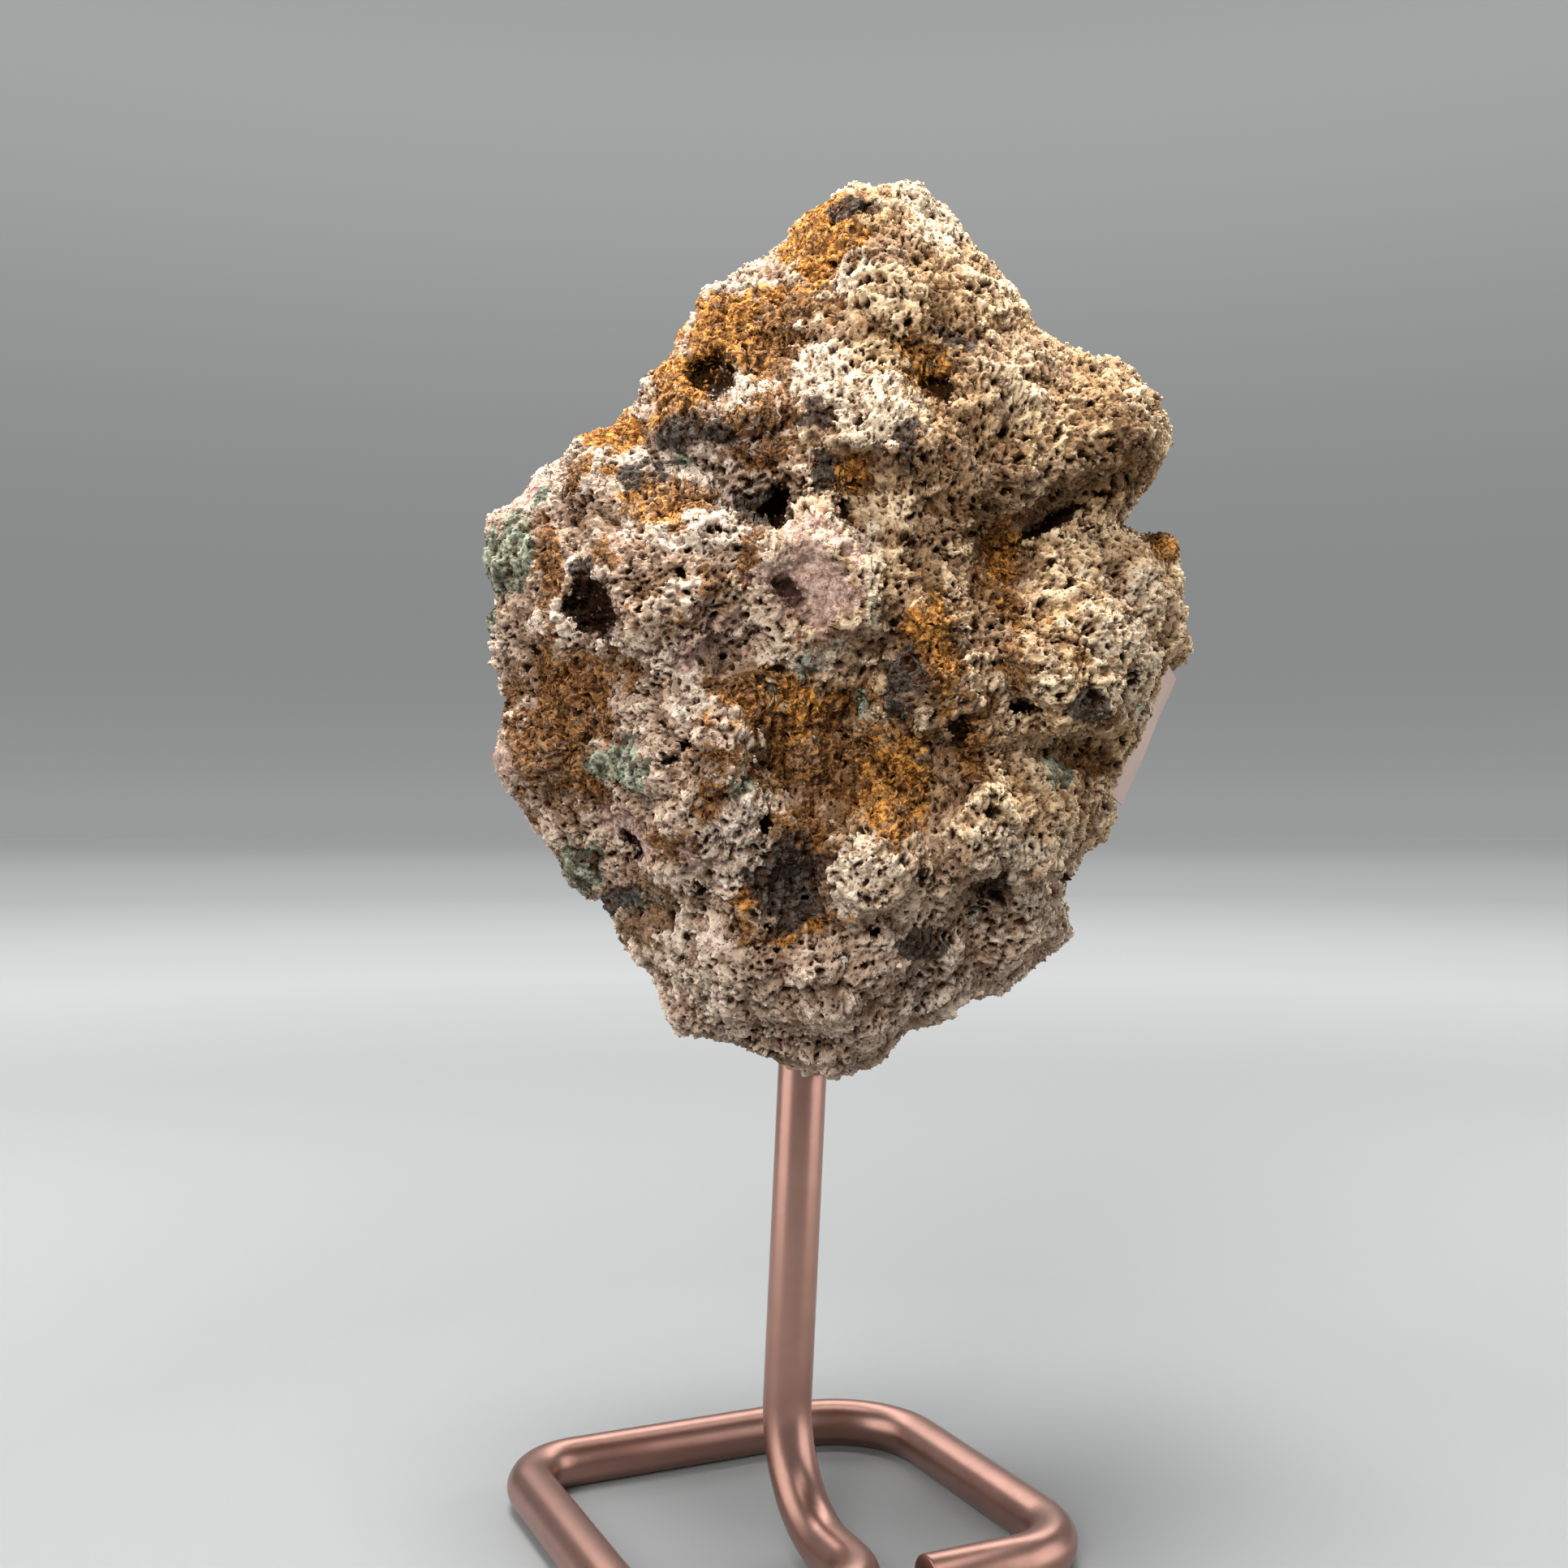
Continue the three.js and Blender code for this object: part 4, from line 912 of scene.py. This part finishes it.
from_left = np.argsort(middles[:, 0], kind="stable")
for number, chosen in enumerate(np.array_split(from_left, GRAIN_MESHES), start=1):
    numbered = corner_faces[None, :, :] + (np.arange(len(chosen)) * len(grain_corners))[:, None, None]
    grain_mesh = bpy.data.meshes.new(f"grains_{number}")
    grain_mesh.from_pydata((grain_points[chosen].reshape(-1, 3) + np.array(ROD_FOOT)) * MM, [],
                           numbered.reshape(-1, 3))
    grain_mesh.polygons.foreach_set("use_smooth", [True] * len(grain_mesh.polygons))
    for measure, values in measures.items():
        store_measure(grain_mesh, measure, np.repeat(values[chosen], len(grain_corners)))
    grain_mesh.materials.append(crust_material)
    grains = put(f"grains_{number}", grain_mesh)
    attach(grains, "root")


# ------------------------ druse
# Small six-sided points of very pale, glassy amethyst that line the shallow bowl in
# the back. They grow from the rock at odd angles, with their feet in the crust.
DRUSE_COUNT = 170
DRUSE_SPACING = 1.0
DRUSE_RADIUS = 0.55
DRUSE_START_Y = 6.0
DRUSE_REACH = 1.1
DRUSE_SEED = 9


def stood_along(place, way):
    """A move to a place that also turns +Z to point along a way."""
    return Matrix.Translation(place) @ way.to_track_quat("Z", "Y").to_matrix().to_4x4()


grown = np.random.default_rng(DRUSE_SEED)
bowl_across, bowl_up, bowl_wide, bowl_tall = BACK_RELIEF[0][:4]
from_bowl = np.hypot((rock_points[:, 0] - bowl_across) / bowl_wide,
                     (rock_points[:, 2] - bowl_up) / bowl_tall)
in_bowl = (rock_measures["lilac"] > 0.7) & (rock_points[:, 1] > DRUSE_START_Y) & (from_bowl < DRUSE_REACH)
feet = np.zeros((0, 3))
druse_shape = bmesh.new()
for spot in grown.permutation(np.flatnonzero(in_bowl)):
    foot = rock_points[spot]
    if len(feet) == DRUSE_COUNT:
        break
    if len(feet) and np.linalg.norm(feet - foot, axis=1).min() < DRUSE_SPACING:
        continue
    feet = np.vstack((feet, foot))
    wide = DRUSE_RADIUS * grown.uniform(0.6, 1.6)
    tall = wide * grown.uniform(1.0, 2.2)
    lean = Vector(rock_normals[spot] + grown.uniform(-0.35, 0.35, 3)).normalized()
    column = bmesh.ops.create_cone(
        druse_shape, cap_ends=True, segments=6, radius1=wide, radius2=wide, depth=tall,
        matrix=stood_along(Vector(foot) + ROD_FOOT, lean))["verts"]
    top = max(column[0].link_faces[:] + column[-1].link_faces[:], key=lambda face: face.normal.dot(lean))
    bmesh.ops.poke(druse_shape, faces=[top], offset=wide * 1.1)
bmesh.ops.scale(druse_shape, verts=druse_shape.verts[:], vec=(MM, MM, MM))
druse = mesh_object("druse", druse_shape, smooth=False)
druse_paint = Paint("pale_amethyst", Roughness=0.18, IOR=1.54, Transmission_Weight=0.45)
druse_cloud = druse_paint.cloud(2.2, 3.0, 0.6)
druse_share = druse_paint.rise(druse_cloud, 0.35, 0.65)
druse_paint.feed(Base_Color=druse_paint.tones(druse_share, (214, 194, 196), (182, 152, 166)))
druse.data.materials.append(druse_paint.material)
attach(druse, "root")


# ------------------------ wire stand
# One length of round wire with a satin rose-gold skin. It starts at a sawn end in the
# middle of the foot's front right side, runs round the rounded square, turns inward
# and bends up into the rod, which ends inside the rock.
WIRE_RADIUS = 2.0
WIRE_SIDES = 40
LOOP_HALF_WIDTH, LOOP_HALF_DEPTH = 17.5, 16.75
LOOP_TURN = math.radians(24.7)
CUT_END_X = 4.0
ROD_LEAN = math.radians(2.63)
ROD_TOP = 50.0
BEND_STEPS = 18
SAWN_RIM = 0.18


def on_loop(x, y):
    corner = Matrix.Rotation(LOOP_TURN, 3, "Z") @ Vector((x, y, 0.0))
    return corner + Vector((0.0, 0.0, WIRE_RADIUS)) + ROD_FOOT


rod_end = Vector((math.tan(ROD_LEAN) * (ROD_TOP - WIRE_RADIUS), 0.0, ROD_TOP)) + ROD_FOOT
# The corners of the wire's centre line from the sawn end on, each with its bend's radius.
wire_corners = [
    (on_loop(CUT_END_X, -LOOP_HALF_DEPTH), 0.0),
    (on_loop(LOOP_HALF_WIDTH, -LOOP_HALF_DEPTH), 5.5),
    (on_loop(LOOP_HALF_WIDTH, LOOP_HALF_DEPTH), 8.5),
    (on_loop(-LOOP_HALF_WIDTH, LOOP_HALF_DEPTH), 5.0),
    (on_loop(-LOOP_HALF_WIDTH, -LOOP_HALF_DEPTH), 5.0),
    (on_loop(0.0, -LOOP_HALF_DEPTH), 5.0),
    (on_loop(0.0, 0.0), 9.0),
    (rod_end, 0.0),
]

def only_edges(geometry):
    return [item for item in geometry if isinstance(item, bmesh.types.BMEdge)]


def run_on(edges, step):
    """The edges of the wire's new end, once it is carried straight on from its open end."""
    carried = bmesh.ops.extrude_edge_only(wire_shape, edges=edges)["geom"]
    vertices = [item for item in carried if isinstance(item, bmesh.types.BMVert)]
    bmesh.ops.translate(wire_shape, verts=vertices, vec=step)
    return only_edges(carried)


wire_shape = bmesh.new()
first_heading = (wire_corners[1][0] - wire_corners[0][0]).normalized()
here = wire_corners[0][0]
bmesh.ops.create_circle(
    wire_shape, cap_ends=True, segments=WIRE_SIDES, radius=WIRE_RADIUS,
    matrix=stood_along(here, first_heading))
wire_edges = wire_shape.edges[:]
for (before, _), (corner, radius), (after, _) in zip(wire_corners, wire_corners[1:], wire_corners[2:]):
    heading = (corner - before).normalized()
    leaving = (after - corner).normalized()
    turn = heading.angle(leaving)
    bend_start = corner - heading * radius * math.tan(turn / 2)
    wire_edges = run_on(wire_edges, bend_start - here)
    axis = heading.cross(leaving).normalized()
    bend_centre = bend_start + axis.cross(heading) * radius
    bent = bmesh.ops.spin(
        wire_shape, geom=wire_edges, cent=bend_centre, axis=axis, angle=turn, steps=BEND_STEPS)
    wire_edges = only_edges(bent["geom_last"])
    here = corner + leaving * radius * math.tan(turn / 2)
bmesh.ops.contextual_create(wire_shape, geom=run_on(wire_edges, rod_end - here))
bmesh.ops.remove_doubles(wire_shape, verts=wire_shape.verts[:], dist=0.001)
bmesh.ops.recalc_face_normals(wire_shape, faces=wire_shape.faces[:])
rims = [edge for edge in wire_shape.edges if len(edge.link_faces) == 2 and edge.calc_face_angle(0.0) > 1.0]
bmesh.ops.bevel(
    wire_shape, geom=rims, offset=SAWN_RIM, affect="EDGES", segments=2, profile=0.5, material=-1)
bmesh.ops.scale(wire_shape, verts=wire_shape.verts[:], vec=(MM, MM, MM))
wire = mesh_object("bent_wire", wire_shape)
wire_paint = Paint("satin_rose_gold", Metallic=1.0)
wire_mottle = wire_paint.cloud(2.5, 3.0, 0.6)
wire_haze = wire_paint.cloud(0.5, 3.0, 0.6)
wire_colour = wire_paint.tones(wire_mottle, (162, 122, 110), (180, 141, 127))
wire_paint.feed(Base_Color=wire_colour, Roughness=wire_haze * 0.12 + 0.28,
                Normal=wire_paint.relief(wire_haze, 0.02, 0.4))
wire.data.materials.append(wire_paint.material)
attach(wire, "root")
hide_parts("stand")


# ------------------------ paper slip
# A small blank slip of aged, pinkish paper stuck on a flat facet of the rock's right
# edge. It is cut square by hand and curls a little at its far edge.
SLIP_THICKNESS = 0.18
SLIP_WAVE, SLIP_CURL = 0.05, 0.0012

slip_shape = bmesh.new()
bmesh.ops.create_grid(slip_shape, x_segments=24, y_segments=16, size=0.5)
for vertex in slip_shape.verts:
    along, aside = vertex.co.x * SLIP_LENGTH, vertex.co.y * SLIP_WIDTH
    curl = SLIP_WAVE * math.sin(along * 0.9) + SLIP_CURL * max(aside, 0.0) ** 3
    place = SLIP_CENTRE + SLIP_DOWN * along + SLIP_ACROSS * aside + SLIP_OUT * (curl - 0.1)
    vertex.co = (Vector(place) + ROD_FOOT) * MM
bmesh.ops.recalc_face_normals(slip_shape, faces=slip_shape.faces[:])
bmesh.ops.solidify(slip_shape, geom=slip_shape.faces[:], thickness=SLIP_THICKNESS * MM)
bmesh.ops.recalc_face_normals(slip_shape, faces=slip_shape.faces[:])
slip = mesh_object("paper_slip", slip_shape, smooth=False)
slip_paint = Paint("aged_paper", Roughness=0.8)
slip_fibre = slip_paint.cloud(0.6, 4.0, 0.7)
slip_stain = slip_paint.cloud(4.0, 2.0, 0.5)
slip_colour = slip_paint.tones(slip_stain, (150, 128, 118), (172, 152, 142))
slip_paint.feed(Base_Color=slip_colour, Normal=slip_paint.relief(slip_fibre, 0.05, 0.5))
slip.data.materials.append(slip_paint.material)
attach(slip, "root")
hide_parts("label")
